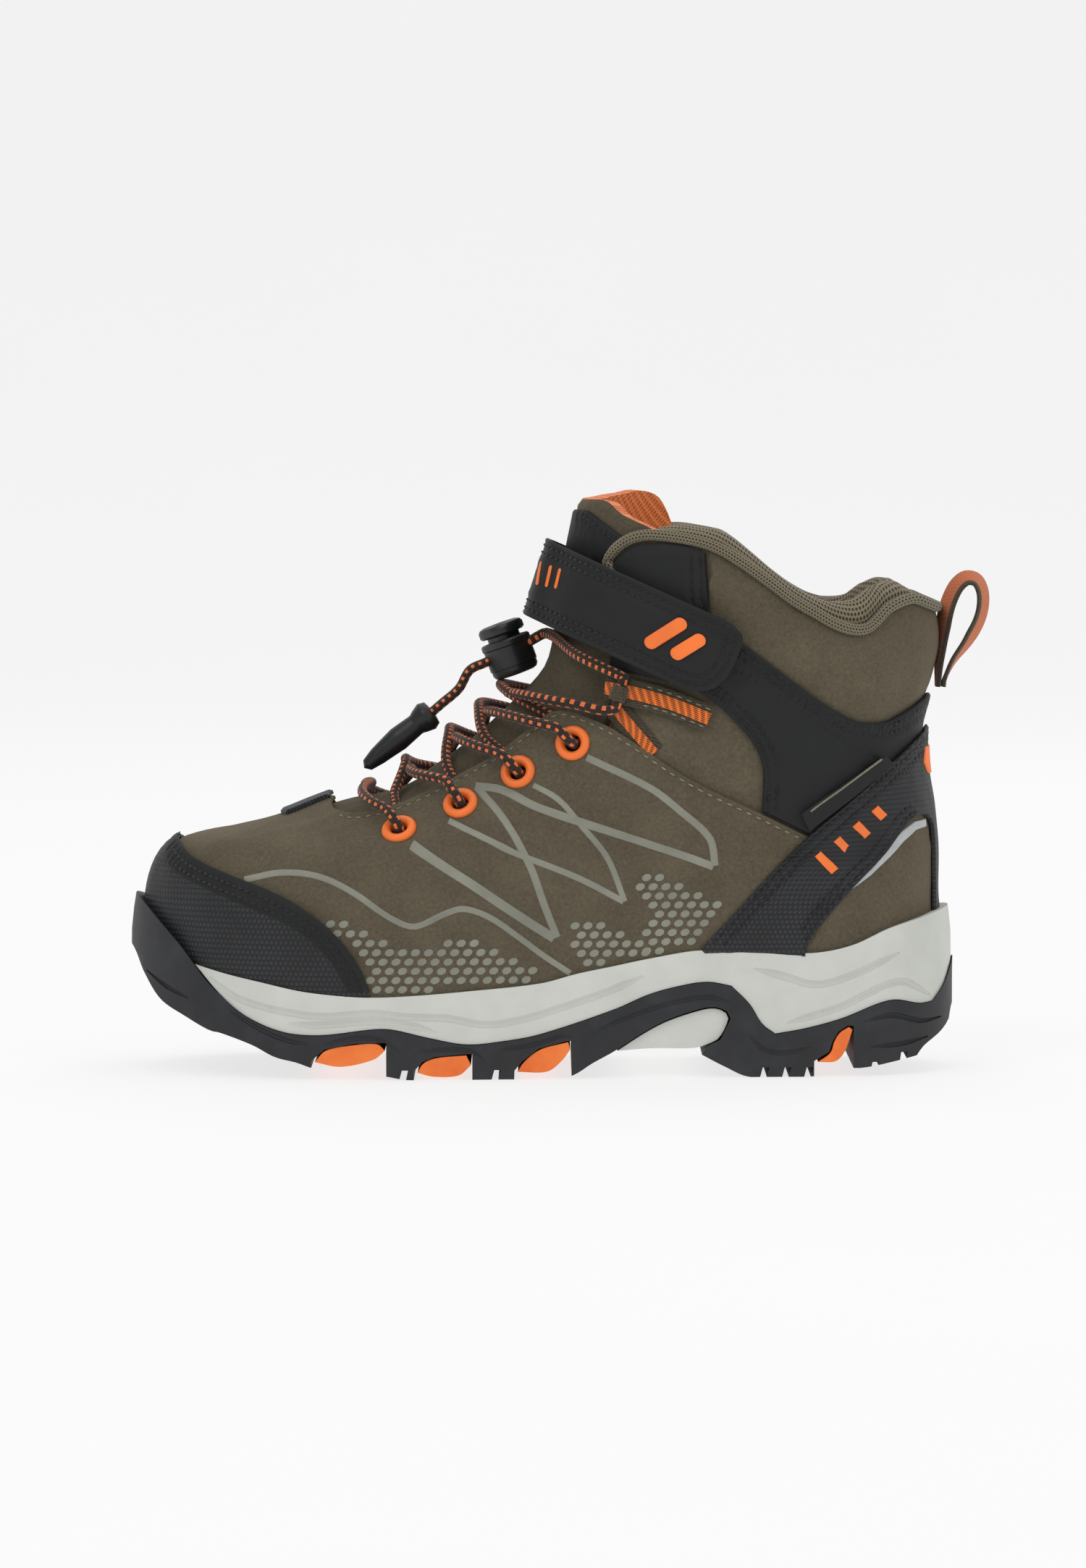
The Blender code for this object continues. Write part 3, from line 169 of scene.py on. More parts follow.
def height_along(line, x):
    """The height of a side-view line at one length."""
    return float(hermite([p[0] for p in line], [p[1] for p in line], x))


def along(points, share):
    """The points at shares of the way along a smooth curve through the points given."""
    p = np.asarray(points, float)
    lengths = np.concatenate([[0.0], np.cumsum(np.linalg.norm(np.diff(p, axis=0), axis=1))])
    at = np.asarray(share, float) * lengths[-1]
    return np.stack([hermite(lengths, p[:, i], at) for i in range(p.shape[1])], axis=-1)


def smooth_line(points, steps):
    return along(points, np.linspace(0, 1, steps + 1))


def run_length(points):
    return float(np.linalg.norm(np.diff(np.asarray(points, float), axis=0), axis=1).sum())


def flowing(points, step=1.6):
    """The same curve with points a step apart."""
    return smooth_line(points, max(2, int(run_length(points) / step)))


def half_width(x, z, side):
    table = LATERAL_W if side == LATERAL else MEDIAL_W
    rows = np.array([hermite(WIDTH_X, row[1], x) for row in table])
    return hermite([row[0] for row in table], rows, z)


def ring_ends(rise):
    ends = along(FRONT, rise)
    xf, zf = ends[..., 0], ends[..., 1]
    zb = hermite([p[0] for p in BACK_HEIGHTS], [p[1] for p in BACK_HEIGHTS], zf)
    return xf, zf, hermite([p[1] for p in BACK], [p[0] for p in BACK], zb), zb


def last_table(turns, rises):
    """Points of the guiding surface on a grid of turn (0 toe to 1 heel, negative lateral) and rise."""
    xf, zf, xb, zb = (v[None, :] for v in ring_ends(rises))
    share = (1 - np.cos(np.pi * turns[:, None])) / 2
    x = xf + (xb - xf) * share
    z = zf + (zb - zf) * share
    front_round = hermite(*FRONT_ROUND, zf)
    back_round = hermite(*BACK_ROUND, zb)
    ends = (np.sqrt(np.maximum(0, 1 - np.maximum(0, 1 - (x - xf) / front_round) ** 2))
            * np.sqrt(np.maximum(0, 1 - np.maximum(0, 1 - (xb - x) / back_round) ** 2)))
    side = np.where(turns[:, None] < 0, LATERAL, MEDIAL) + np.zeros_like(x)
    width = np.where(side < 0, half_width(x.ravel(), z.ravel(), LATERAL).reshape(x.shape),
                     half_width(x.ravel(), z.ravel(), MEDIAL).reshape(x.shape))
    y = hermite(*CENTRE_LINE, x) + side * width * ends
    return np.stack([x, y, z], axis=-1)


TURNS, RISES = np.linspace(-1, 1, 641), np.linspace(0, 1, 301)
LAST = last_table(TURNS, RISES)
_across = np.empty_like(LAST)
_across[1:-1] = LAST[2:] - LAST[:-2]
_across[0] = _across[-1] = LAST[1] - LAST[-2]
_normal = np.cross(np.gradient(LAST, axis=1), _across)
LAST_NORMAL = _normal / np.linalg.norm(_normal, axis=-1, keepdims=True)
_ring = np.concatenate([np.zeros((1, LAST.shape[1])),
                        np.cumsum(np.linalg.norm(np.diff(LAST, axis=0), axis=-1), axis=0)])
_up = np.concatenate([np.zeros((LAST.shape[0], 1)),
                      np.cumsum(np.linalg.norm(np.diff(LAST, axis=1), axis=-1), axis=1)], axis=1)
LAST_CLOTH = np.stack([_ring - _ring[len(TURNS) // 2], _up], axis=-1)
RING_FRONT_X, RING_FRONT_Z, RING_BACK_X, RING_BACK_Z = ring_ends(RISES)
PATTERN = (300.0, 160.0)          # flat pattern millimetres to one turn and one rise, nearly true size


def looked_up(table, turn, rise):
    """Values of a table of the last between its grid points."""
    turn = np.asarray(turn, float)
    turn = turn - 2 * np.round(turn / 2)
    a = np.clip((turn + 1) / 2 * (len(TURNS) - 1), 0, len(TURNS) - 1.0001)
    b = np.clip(np.asarray(rise, float) * (len(RISES) - 1), 0, len(RISES) - 1.0001)
    i, j = a.astype(int), b.astype(int)
    u, v = (a - i)[..., None], (b - j)[..., None]
    return (table[i, j] * (1 - u) * (1 - v) + table[i + 1, j] * u * (1 - v)
            + table[i, j + 1] * (1 - u) * v + table[i + 1, j + 1] * u * v)


def laid(turn, rise, distance):
    """Points on the last, moved outward by a distance."""
    return looked_up(LAST, turn, rise) + looked_up(LAST_NORMAL, turn, rise) * np.asarray(distance, float)[..., None]


def on_last(a, b, distance):
    """Points of the flat upper pattern, laid on the last."""
    return laid(np.asarray(a) / PATTERN[0], np.asarray(b) / PATTERN[1], distance)


def cloth_place(a, b):
    """Where a point of the upper pattern lies in its cloth, measured along the threads."""
    return looked_up(LAST_CLOTH, np.asarray(a) / PATTERN[0], np.asarray(b) / PATTERN[1])


def turn_and_rise(x, z, side):
    """Where the side-view point (x, z) lies on the last."""
    share = (x - RING_FRONT_X) / (RING_BACK_X - RING_FRONT_X)
    height = RING_FRONT_Z + (RING_BACK_Z - RING_FRONT_Z) * share
    over = (share < 0) | (height > z)
    k = max(1, int(np.argmax(over))) if over.any() else len(RISES) - 1
    part = 1.0
    if share[k] >= 0 and height[k] > height[k - 1]:
        part = min(max((z - height[k - 1]) / (height[k] - height[k - 1]), 0.0), 1.0)
    rise = RISES[k - 1] + part * (RISES[k] - RISES[k - 1])
    here = min(max(share[k - 1] + part * (share[k] - share[k - 1]), 0.0), 1.0)
    return side * math.acos(1 - 2 * here) / math.pi, rise


def pattern(line, side):
    """A side-view line as a line of the flat upper pattern."""
    return [(t * PATTERN[0], r * PATTERN[1]) for t, r in (turn_and_rise(x, z, side) for x, z in line)]


def side_point(x, z, side, distance=0.0):
    turn, rise = turn_and_rise(x, z, side)
    return Vector(laid(turn, rise, np.array(distance)))


def side_normal(x, z, side):
    turn, rise = turn_and_rise(x, z, side)
    return Vector(looked_up(LAST_NORMAL, turn, rise)).normalized()


def beside(line, distance):
    """A line in side view moved to its left by a distance."""
    p = np.asarray(line, float)
    run = np.gradient(p, axis=0)
    run /= np.linalg.norm(run, axis=1, keepdims=True)
    return p + np.stack([-run[:, 1], run[:, 0]], axis=1) * distance


def toe_end(z):
    """The pattern point over the tip of the toe at a height."""
    middle = len(TURNS) // 2
    return 0.0, float(np.interp(z, LAST[middle, :, 2], RISES)) * PATTERN[1]


def from_toe(lateral_line):
    """A closed pattern outline from its lateral half, which starts and ends over the toe."""
    half = [list(p) for p in lateral_line]
    half[0][0] = half[-1][0] = 0.0
    return [tuple(p) for p in half] + [(-a, b) for a, b in reversed(half[1:-1])]


def from_heel(medial_line):
    """A closed pattern outline from its medial half, which starts and ends over the heel."""
    half = [list(p) for p in medial_line]
    half[0][0] = half[-1][0] = PATTERN[0]
    return [tuple(p) for p in half] + [(2 * PATTERN[0] - a, b) for a, b in reversed(half[1:-1])]


# ---------------------------------------------------------------- making pieces
def finish_piece(name, mesh, finishes, body, stands_for=(), smooth=40):
    """Puts a mesh in millimetres into the scene as a piece that rides on a body."""
    mesh.transform(Matrix.Scale(0.001, 4) @ Matrix.Translation(SHIFT))
    obj = bpy.data.objects.new(name, mesh)
    for finish in finishes if isinstance(finishes, (list, tuple)) else [finishes]:
        mesh.materials.append(finish)
    bpy.context.scene.collection.objects.link(obj)
    if smooth:
        mesh.shade_smooth()
        mesh.set_sharp_from_angle(angle=math.radians(smooth))
    if body:
        if isinstance(body, tuple):
            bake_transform(obj)
        else:
            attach(obj, body)
        if stands_for:
            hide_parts(*stands_for)
    return obj


def mesh_of(bm, name, turn_out=True):
    if turn_out:
        bmesh.ops.recalc_face_normals(bm, faces=bm.faces)
    mesh = bpy.data.meshes.new(name)
    bm.to_mesh(mesh)
    bm.free()
    return mesh


def within(points, polygon):
    """Which points lie inside a closed polygon."""
    x, y = points[:, 0][:, None], points[:, 1][:, None]
    p = np.asarray(polygon, float)
    q = np.roll(p, -1, axis=0)
    rising = (p[:, 1] > y) != (q[:, 1] > y)
    with np.errstate(divide="ignore", invalid="ignore"):
        crossing = (q[:, 0] - p[:, 0]) * (y - p[:, 1]) / (q[:, 1] - p[:, 1]) + p[:, 0]
    return (rising & (x < crossing)).sum(axis=1) % 2 == 1


def clean_loop(loop, least=0.25):
    kept = []
    for p in loop:
        if not kept or math.dist(p, kept[-1]) > least:
            kept.append((float(p[0]), float(p[1])))
    while math.dist(kept[0], kept[-1]) < least:
        kept.pop()
    return kept


def evened(loop, step=1.6):
    """A closed loop with no side longer than a step."""
    out = []
    for a, b in zip(loop, loop[1:] + loop[:1]):
        parts = max(1, math.ceil(math.dist(a, b) / step))
        for k in range(parts):
            out.append((a[0] + (b[0] - a[0]) * k / parts, a[1] + (b[1] - a[1]) * k / parts))
    return out


def inset_loop(loop, distance):
    """A closed loop moved inward by a distance."""
    p = np.asarray(loop, float)
    area = np.sum(p[:, 0] * np.roll(p[:, 1], -1) - np.roll(p[:, 0], -1) * p[:, 1])
    ahead = np.roll(p, -1, axis=0) - p
    ahead /= np.linalg.norm(ahead, axis=1, keepdims=True)
    behind = np.roll(ahead, 1, axis=0)
    left = np.stack([-(ahead + behind)[:, 1], (ahead + behind)[:, 0]], axis=1)
    left /= np.maximum(np.linalg.norm(left, axis=1, keepdims=True), 0.3)
    return p + left * (distance if area > 0 else -distance)


def cut_panel(name, outline, place, top, thickness, finishes, body, slot, stands_for=(), pitch=2.0, edge=0.45,
              holes=(), sewn=(), lift=None, cloth=None, round_over=0.8):
    """A pattern piece cut flat to its outline, laid on its form, thickened inward, with rounded edges.

    sewn holds lines of the pattern where thread pulls the cloth down, and lift raises it by place."""
    outer = evened(clean_loop(outline))
    loops = [outer] + [evened(clean_loop(h)) for h in holes]
    rims = [inset_loop(outer, edge)] + [inset_loop(h, -edge) for h in loops[1:]]
    points, edges = [], []
    for loop in loops + [[tuple(p) for p in rim] for rim in rims]:
        first = len(points)
        points += [Vector(p) for p in loop]
        edges += [(first + k, first + (k + 1) % len(loop)) for k in range(len(loop))]
    tree = kdtree.KDTree(len(points))
    for k, p in enumerate(points):
        tree.insert((p.x, p.y, 0), k)
    tree.balance()
    for line in sewn:
        for p in line:
            if within(np.array([p[:2]]), outer)[0] and tree.find((p[0], p[1], 0))[2] > 0.5 * edge:
                points.append(Vector(p[:2]))
    low, high = np.min(outer, axis=0), np.max(outer, axis=0)
    xs, ys = np.arange(low[0], high[0], pitch), np.arange(low[1], high[1], pitch * 0.87)
    grid = np.array([(x + (pitch / 2 if j % 2 else 0), y) for j, y in enumerate(ys) for x in xs])
    grid = grid[within(grid, rims[0])]
    points += [Vector(p) for p in grid if tree.find((p[0], p[1], 0))[2] > 0.6 * pitch]
    flat, _, faces, *_ = geometry.delaunay_2d_cdt(points, edges, [], 0, 1e-4)
    flat = np.array([tuple(p) for p in flat])
    faces = np.array([f for f in faces if len(f) == 3])
    centres = flat[faces].mean(axis=1)
    keep = within(centres, outer)
    for hole in loops[1:]:
        keep &= ~within(centres, hole)
    faces = faces[keep]
    used = np.unique(faces)
    renumber = np.full(len(flat), -1)
    renumber[used] = np.arange(len(used))
    flat, faces = flat[used], renumber[faces]
    border = kdtree.KDTree(sum(len(loop) for loop in loops))
    for k, p in enumerate(p for loop in loops for p in loop):
        border.insert((p[0], p[1], 0), k)
    border.balance()
    height, dropped = np.full(len(flat), float(top)), np.zeros(len(flat))
    drop = min(edge, 0.7 * thickness) * round_over
    for k, p in enumerate(flat):
        away = border.find((p[0], p[1], 0))[2]
        if away < edge * 0.5:
            dropped[k] = drop
    height -= dropped
    if sewn:
        thread = kdtree.KDTree(sum(len(line) for line in sewn))
        for k, p in enumerate(p for line in sewn for p in line):
            thread.insert((p[0], p[1], 0), k)
        thread.balance()
        for k, p in enumerate(flat):
            away = thread.find((p[0], p[1], 0))[2]
            height[k] -= 0.34 * math.exp(-(away / 0.9) ** 2)
            height[k] += 0.16 * math.exp(-((away - 2.2) / 1.0) ** 2)
    if lift:
        height += lift(flat)
    solid = place(flat[:, 0], flat[:, 1], height)
    raised = place(flat[:, 0], flat[:, 1], height + 1.0) - solid
    corners = solid[faces]
    facing = np.einsum("ij,ij->i", np.cross(corners[:, 1] - corners[:, 0], corners[:, 2] - corners[:, 0]),
                       raised[faces[:, 0]])
    if facing.sum() < 0:
        faces = faces[:, ::-1]
    under = place(flat[:, 0], flat[:, 1], height + dropped - thickness)
    count = len(flat)
    ahead = {(int(f[k]), int(f[(k + 1) % 3])) for f in faces for k in range(3)}
    walls = [(j, i, i + count, j + count) for i, j in ahead if (j, i) not in ahead]
    sides = [tuple(f) for f in faces.tolist()] + [tuple(f) for f in (faces[:, ::-1] + count).tolist()] + walls
    mesh = bpy.data.meshes.new(name)
    mesh.from_pydata(np.concatenate([solid, under]).tolist(), [], sides)
    uv = mesh.uv_layers.new(name="UVMap")
    where = np.tile(cloth(flat[:, 0], flat[:, 1]) if cloth else flat, (2, 1)) * 0.001
    uv.data.foreach_set("uv", where[[k for f in sides for k in f]].ravel())
    if isinstance(finishes, list) and len(finishes) > 1:
        mesh.polygons.foreach_set("material_index", [0] * len(faces) + [1] * (len(sides) - len(faces)))
    return finish_piece(name, mesh, finishes, body, stands_for)


def formed(name, across, around, place, size, finishes, body, stands_for=(), fill=True, smooth=60):
    """A grid shaped point by point by place(u, v), joined where its sides meet and closed at its ends.

    place takes arrays from 0 to 1 and size is the cloth's (length, width) in millimetres."""
    bm = bmesh.new()
    layer = bm.loops.layers.uv.new("UVMap")
    bmesh.ops.create_grid(bm, x_segments=across, y_segments=around, size=0.5)
    uv = np.array([(v.co.x + 0.5, v.co.y + 0.5) for v in bm.verts])
    for face in bm.faces:
        for loop in face.loops:
            u, v = uv[loop.vert.index]
            loop[layer].uv = (u * size[0] * 0.001, v * size[1] * 0.001)
    for v, p in zip(bm.verts, place(uv[:, 0], uv[:, 1])):
        v.co = p
    bmesh.ops.remove_doubles(bm, verts=bm.verts, dist=0.002)
    if fill:
        bmesh.ops.holes_fill(bm, edges=[e for e in bm.edges if e.is_boundary], sides=0)
    return finish_piece(name, mesh_of(bm, name), finishes, body, stands_for, smooth)


def frames_along(points):
    """Directions along, across and above a path, turning as little as they can."""
    p = np.asarray(points, float)
    run = np.gradient(p, axis=0)
    run /= np.linalg.norm(run, axis=1, keepdims=True)
    side = np.empty_like(p)
    first = np.cross(run[0], (0, 0, 1.0))
    side[0] = first / np.linalg.norm(first)
    for k in range(1, len(p)):
        s = side[k - 1] - run[k] * np.dot(side[k - 1], run[k])
        side[k] = s / np.linalg.norm(s)
    return run, side, np.cross(run, side)


def tube(name, points, radius, finishes, body, stands_for=(), sides=12, swell=None):
    """A round cord through smooth points, with its cloth running along it."""
    p = np.asarray(points, float)
    _, side, up = frames_along(p)

    def place(u, v):
        k = np.clip(np.round(u * (len(p) - 1)).astype(int), 0, len(p) - 1)
        angle = v * 2 * np.pi
        r = radius * (1 if swell is None else swell(u))
        return p[k] + side[k] * (np.cos(angle) * r)[:, None] + up[k] * (np.sin(angle) * r)[:, None]

    length = run_length(p)
    return formed(name, len(p) - 1, sides, place, (length, 2 * math.pi * radius), finishes, body,
                  stands_for)


def thread_rows(name, rows, finish, body, pitch=2.5, radius=0.3):
    """Rows of separate stitches. Each row is (points, outward directions), both in millimetres."""
    bm, length = bmesh.new(), settings().stitch * 1000
    for points, outward in rows:
        p, out = np.asarray(points, float), np.asarray(outward, float)
        reach = np.concatenate([[0.0], np.cumsum(np.linalg.norm(np.diff(p, axis=0), axis=1))])
        count = int(reach[-1] / pitch)
        for k in range(count):
            at = (k + 0.5) * reach[-1] / count
            here, ahead, behind, lift = (Vector([np.interp(s, reach, q[:, i]) for i in range(3)])
                                         for s, q in ((at, p), (at + 0.4, p), (at - 0.4, p), (at, out)))
            x = (ahead - behind).normalized()
            z = (lift - x * lift.dot(x)).normalized()
            turned = Matrix((x, z.cross(x), z)).transposed().to_4x4()
            sized = Matrix.Diagonal((length / 2, radius, radius * 0.9, 1))
            bmesh.ops.create_uvsphere(bm, u_segments=6, v_segments=5, radius=1.0,
                                      matrix=Matrix.Translation(here) @ turned @ sized)
    return finish_piece(name, mesh_of(bm, name, False), finish, body)


def lined(bm):
    """Recalculated outward normals, ready for a solid made by spinning or mirroring."""
    bmesh.ops.remove_doubles(bm, verts=bm.verts, dist=0.001)
    bmesh.ops.recalc_face_normals(bm, faces=bm.faces)
    return bm


def spun(bm, profile, centre, axis, steps):
    """Adds a closed profile of (radius, height) spun round an axis."""
    ring = [bm.verts.new((r, 0, h)) for r, h in profile]
    edges = [bm.edges.new((a, b)) for a, b in zip(ring, ring[1:] + ring[:1])]
    made = bmesh.ops.spin(bm, geom=ring + edges, cent=(0, 0, 0), axis=(0, 0, 1), angle=2 * math.pi, steps=steps,
                          use_merge=True)
    new = {v for v in ring}
    for item in made["geom_last"]:
        if isinstance(item, bmesh.types.BMVert):
            new.add(item)
    todo = list(new)
    while todo:
        for e in todo.pop().link_edges:
            for v in e.verts:
                if v not in new:
                    new.add(v)
                    todo.append(v)
    turned = Vector((0, 0, 1)).rotation_difference(Vector(axis)).to_matrix().to_4x4()
    bmesh.ops.transform(bm, matrix=Matrix.Translation(centre) @ turned, verts=list(new))


# ---------------------------------------------------------------- finishes
def colour(code):
    """An sRGB hex colour as linear values; one that is already linear is left as it is."""
    if not isinstance(code, str):
        return tuple(code[:3]) + (1.0,)
    parts = [int(code[i:i + 2], 16) / 255 for i in (1, 3, 5)]
    return tuple(c / 12.92 if c <= 0.04045 else ((c + 0.055) / 1.055) ** 2.4 for c in parts) + (1.0,)


def put(tree, kind, inputs=None, ramp=None, **settings):
    """Adds a node with its settings, its input values and the links into it."""
    made = tree.nodes.new("ShaderNode" + kind)
    for key, value in settings.items():
        setattr(made, key, value)
    for key, value in (inputs or {}).items():
        if isinstance(value, bpy.types.NodeSocket):
            tree.links.new(value, made.inputs[key])
        else:
            made.inputs[key].default_value = value
    if ramp:
        while len(made.color_ramp.elements) < len(ramp):
            made.color_ramp.elements.new(0.5)
        for element, (at, code) in zip(made.color_ramp.elements, ramp):
            element.position = at
            element.color = (code, code, code, 1) if isinstance(code, (int, float)) else colour(code)
    return made


def base_finish(name, roughness, **sockets):
    """A new material with constants on its shader, and the tree to build in."""
    made = bpy.data.materials.new(name)
    made.use_nodes = True
    tree = made.node_tree
    shader = tree.nodes["Principled BSDF"]
    shader.inputs["Roughness"].default_value = roughness
    for key, value in sockets.items():
        shader.inputs[key.replace("_", " ")].default_value = value
    where = tree.nodes.new("ShaderNodeTexCoord")
    return made, tree, shader, where


def dress(tree, shader, tint, height, strength, distance):
    """Links a colour and a bump of a real height in millimetres."""
    tree.links.new(tint, shader.inputs["Base Color"])
    bump = put(tree, "Bump", {"Height": height, "Strength": strength, "Distance": distance * 0.001})
    tree.links.new(bump.outputs["Normal"], shader.inputs["Normal"])


def per_mm(size):
    """Texture scale for features of a size in millimetres on coordinates in metres."""
    return 1000.0 / size


def maths(tree, operation, a, b=0.0):
    return put(tree, "Math", {0: a, 1: b}, operation=operation).outputs[0]


def softshell(name, dark, mid, light):
    """Bonded polyester softshell, brushed: a short heathered nap over a fine knit, so it is matt and soft."""
    made, tree, shader, where = base_finish(name, 0.92, Sheen_Weight=0.25, Sheen_Roughness=0.5,
                                            Sheen_Tint=colour("#b7a88a"), Specular_IOR_Level=0.25)
    nap = put(tree, "TexNoise", {"Vector": where.outputs["Object"], "Scale": per_mm(0.9), "Detail": 5.0,
                                 "Roughness": 0.7})
    patches = put(tree, "TexNoise", {"Vector": where.outputs["Object"], "Scale": per_mm(14.0), "Detail": 3.0})
    mixed = maths(tree, "MULTIPLY_ADD", nap.outputs["Fac"], 0.7)
    tree.links.new(maths(tree, "MULTIPLY", patches.outputs["Fac"], 0.3), mixed.node.inputs[2])
    tint = put(tree, "ValToRGB", {"Fac": mixed}, ramp=[(0.3, dark), (0.5, mid), (0.72, light)])
    uv = put(tree, "Mapping", {"Vector": where.outputs["UV"], "Scale": (per_mm(0.8),) * 3})
    parts = put(tree, "SeparateXYZ", {"Vector": uv.outputs[0]})
    knit = maths(tree, "MULTIPLY", maths(tree, "SINE", maths(tree, "MULTIPLY", parts.outputs[0], 6.283)),
                 maths(tree, "SINE", maths(tree, "MULTIPLY", parts.outputs[1], 6.283)))
    height = maths(tree, "ADD", maths(tree, "MULTIPLY", knit, 0.25), nap.outputs["Fac"])
    dress(tree, shader, tint.outputs["Color"], height, 0.55, 0.16)
    return made


def microfibre(name, dark, mid, light, roughness=0.62):
    """Polyurethane-coated microfibre: a fine pebble grain pressed into a thin satin skin."""
    made, tree, shader, where = base_finish(name, roughness, Specular_IOR_Level=0.4)
    grain = put(tree, "TexVoronoi", {"Vector": where.outputs["Object"], "Scale": per_mm(0.55)},
                feature="SMOOTH_F1")
    cloudy = put(tree, "TexNoise", {"Vector": where.outputs["Object"], "Scale": per_mm(9.0), "Detail": 6.0})
    tint = put(tree, "ValToRGB", {"Fac": cloudy.outputs["Fac"]}, ramp=[(0.3, dark), (0.5, mid), (0.7, light)])
    height = maths(tree, "ADD", maths(tree, "MULTIPLY", grain.outputs["Distance"], -0.6),
                   maths(tree, "MULTIPLY", cloudy.outputs["Fac"], 0.8))
    dress(tree, shader, tint.outputs["Color"], height, 0.5, 0.12)
    rough = put(tree, "MapRange", {"Value": cloudy.outputs["Fac"], "From Min": 0.3, "From Max": 0.7,
                                   "To Min": roughness - 0.07, "To Max": roughness + 0.08})
    tree.links.new(rough.outputs[0], shader.inputs["Roughness"])
    return made


def coated_weave(name, dark, light, pitch):
    """Coarse basket weave under a matt rubber coating, as on rand material: rows of small worn knobs, each painted
    lighter on its crest as painted highlight and darker in the hollows round it as painted shade.
    """
    made, tree, shader, where = base_finish(name, 0.6, Specular_IOR_Level=0.45)
    scaled = put(tree, "Mapping", {"Vector": where.outputs["UV"], "Scale": (per_mm(pitch),) * 3})
    parts = put(tree, "SeparateXYZ", {"Vector": scaled.outputs[0]})
    rows = maths(tree, "FLOOR", parts.outputs[1])
    x = maths(tree, "FRACT", maths(tree, "ADD", parts.outputs[0], maths(tree, "MULTIPLY", rows, 0.5)))
    y = maths(tree, "FRACT", parts.outputs[1])
    across = maths(tree, "SINE", maths(tree, "MULTIPLY", x, 3.1416))
    upward = maths(tree, "SINE", maths(tree, "MULTIPLY", y, 3.1416))
    knob = maths(tree, "POWER", maths(tree, "MULTIPLY", across, upward), 0.6)
    grit = put(tree, "TexNoise", {"Vector": where.outputs["Object"], "Scale": per_mm(0.5), "Detail": 3.0})
    uneven = put(tree, "TexNoise", {"Vector": where.outputs["Object"], "Scale": per_mm(12.0), "Detail": 2.0})
    # painted light and shade: the knob crests are coloured lighter and the hollows between them darker, with slow noise
    # that varies the tone at random
    lit = maths(tree, "MULTIPLY", knob, maths(tree, "ADD", uneven.outputs["Fac"], 0.35))
    tint = put(tree, "ValToRGB", {"Fac": lit}, ramp=[(0.15, dark), (0.85, light)])
    height = maths(tree, "ADD", knob, maths(tree, "MULTIPLY", grit.outputs["Fac"], 0.3))
    dress(tree, shader, tint.outputs["Color"], height, 0.8, 0.22)
    return made


def knitted(name, dark, light, pitch, roughness=0.95):
    """Warp-knitted spacer mesh: open round cells, coloured dark as painted shade inside them, between pairs of bright
    filament yarns.
    """
    made, tree, shader, where = base_finish(name, roughness, Sheen_Weight=0.3, Sheen_Roughness=0.4,
                                            Specular_IOR_Level=0.3)
    scaled = put(tree, "Mapping", {"Vector": where.outputs["UV"],
                                   "Scale": (per_mm(pitch), per_mm(pitch * 0.8), per_mm(pitch))})
    parts = put(tree, "SeparateXYZ", {"Vector": scaled.outputs[0]})
    rows = maths(tree, "FLOOR", parts.outputs[1])
    x = maths(tree, "SUBTRACT", maths(tree, "FRACT", maths(tree, "ADD", parts.outputs[0],
                                                           maths(tree, "MULTIPLY", rows, 0.5))), 0.5)
    y = maths(tree, "SUBTRACT", maths(tree, "FRACT", parts.outputs[1]), 0.5)
    away = maths(tree, "SQRT", maths(tree, "ADD", maths(tree, "MULTIPLY", x, x), maths(tree, "MULTIPLY", y, y)))
    yarn = put(tree, "MapRange", {"Value": away, "From Min": 0.18, "From Max": 0.42}, interpolation_type="SMOOTHSTEP")
    fuzz = put(tree, "TexNoise", {"Vector": where.outputs["Object"], "Scale": per_mm(0.35), "Detail": 3.0})
    # painted shade: the open cells are coloured dark, as shade inside them, and the yarns light, with fine noise that
    # varies the yarn's tone at random
    lit = maths(tree, "MULTIPLY", yarn.outputs[0], maths(tree, "ADD", fuzz.outputs["Fac"], 0.5))
    tint = put(tree, "ValToRGB", {"Fac": lit}, ramp=[(0.05, dark), (0.9, light)])
    dress(tree, shader, tint.outputs["Color"], lit, 0.9, 0.4)
    return made


def ribbed_tape(name, dark, light, stripe=None, pitch=0.9):
    """Woven polyester tape: close ribs across the weave, painted lighter on their crests and darker between them as
    painted light and shade, with a coloured band of warp where one is given.
    """
    made, tree, shader, where = base_finish(name, 0.85, Sheen_Weight=0.2, Specular_IOR_Level=0.3)
    parts = put(tree, "SeparateXYZ", {"Vector": put(tree, "Mapping", {"Vector": where.outputs["UV"],
                                                                      "Scale": (1000, 1000, 1000)}).outputs[0]})
    ribs = maths(tree, "SINE", maths(tree, "MULTIPLY", parts.outputs[0], 6.283 / pitch))
    ends = maths(tree, "SINE", maths(tree, "MULTIPLY", parts.outputs[1], 6.283 / (pitch * 0.8)))
    weave = maths(tree, "MULTIPLY", ribs, ends)
    fuzz = put(tree, "TexNoise", {"Vector": where.outputs["Object"], "Scale": per_mm(0.4), "Detail": 3.0})
    # painted light and shade: the weave's crests are coloured lighter and the dips between them darker, over fine noise
    # that varies the tone at random
    lit = maths(tree, "ADD", maths(tree, "MULTIPLY", weave, 0.3), fuzz.outputs["Fac"])
    tint = put(tree, "ValToRGB", {"Fac": lit}, ramp=[(0.3, dark), (0.75, light)]).outputs["Color"]
    if stripe:
        low, high, code = stripe
        inside = maths(tree, "MULTIPLY", maths(tree, "GREATER_THAN", parts.outputs[1], low),
                       maths(tree, "LESS_THAN", parts.outputs[1], high))
        shade = put(tree, "MixRGB", {"Fac": 0.25, "Color1": colour(code), "Color2": tint})
        tint = put(tree, "MixRGB", {"Fac": inside, "Color1": tint, "Color2": shade.outputs[0]}).outputs[0]
    dress(tree, shader, tint, lit, 0.7, 0.25)
    return made


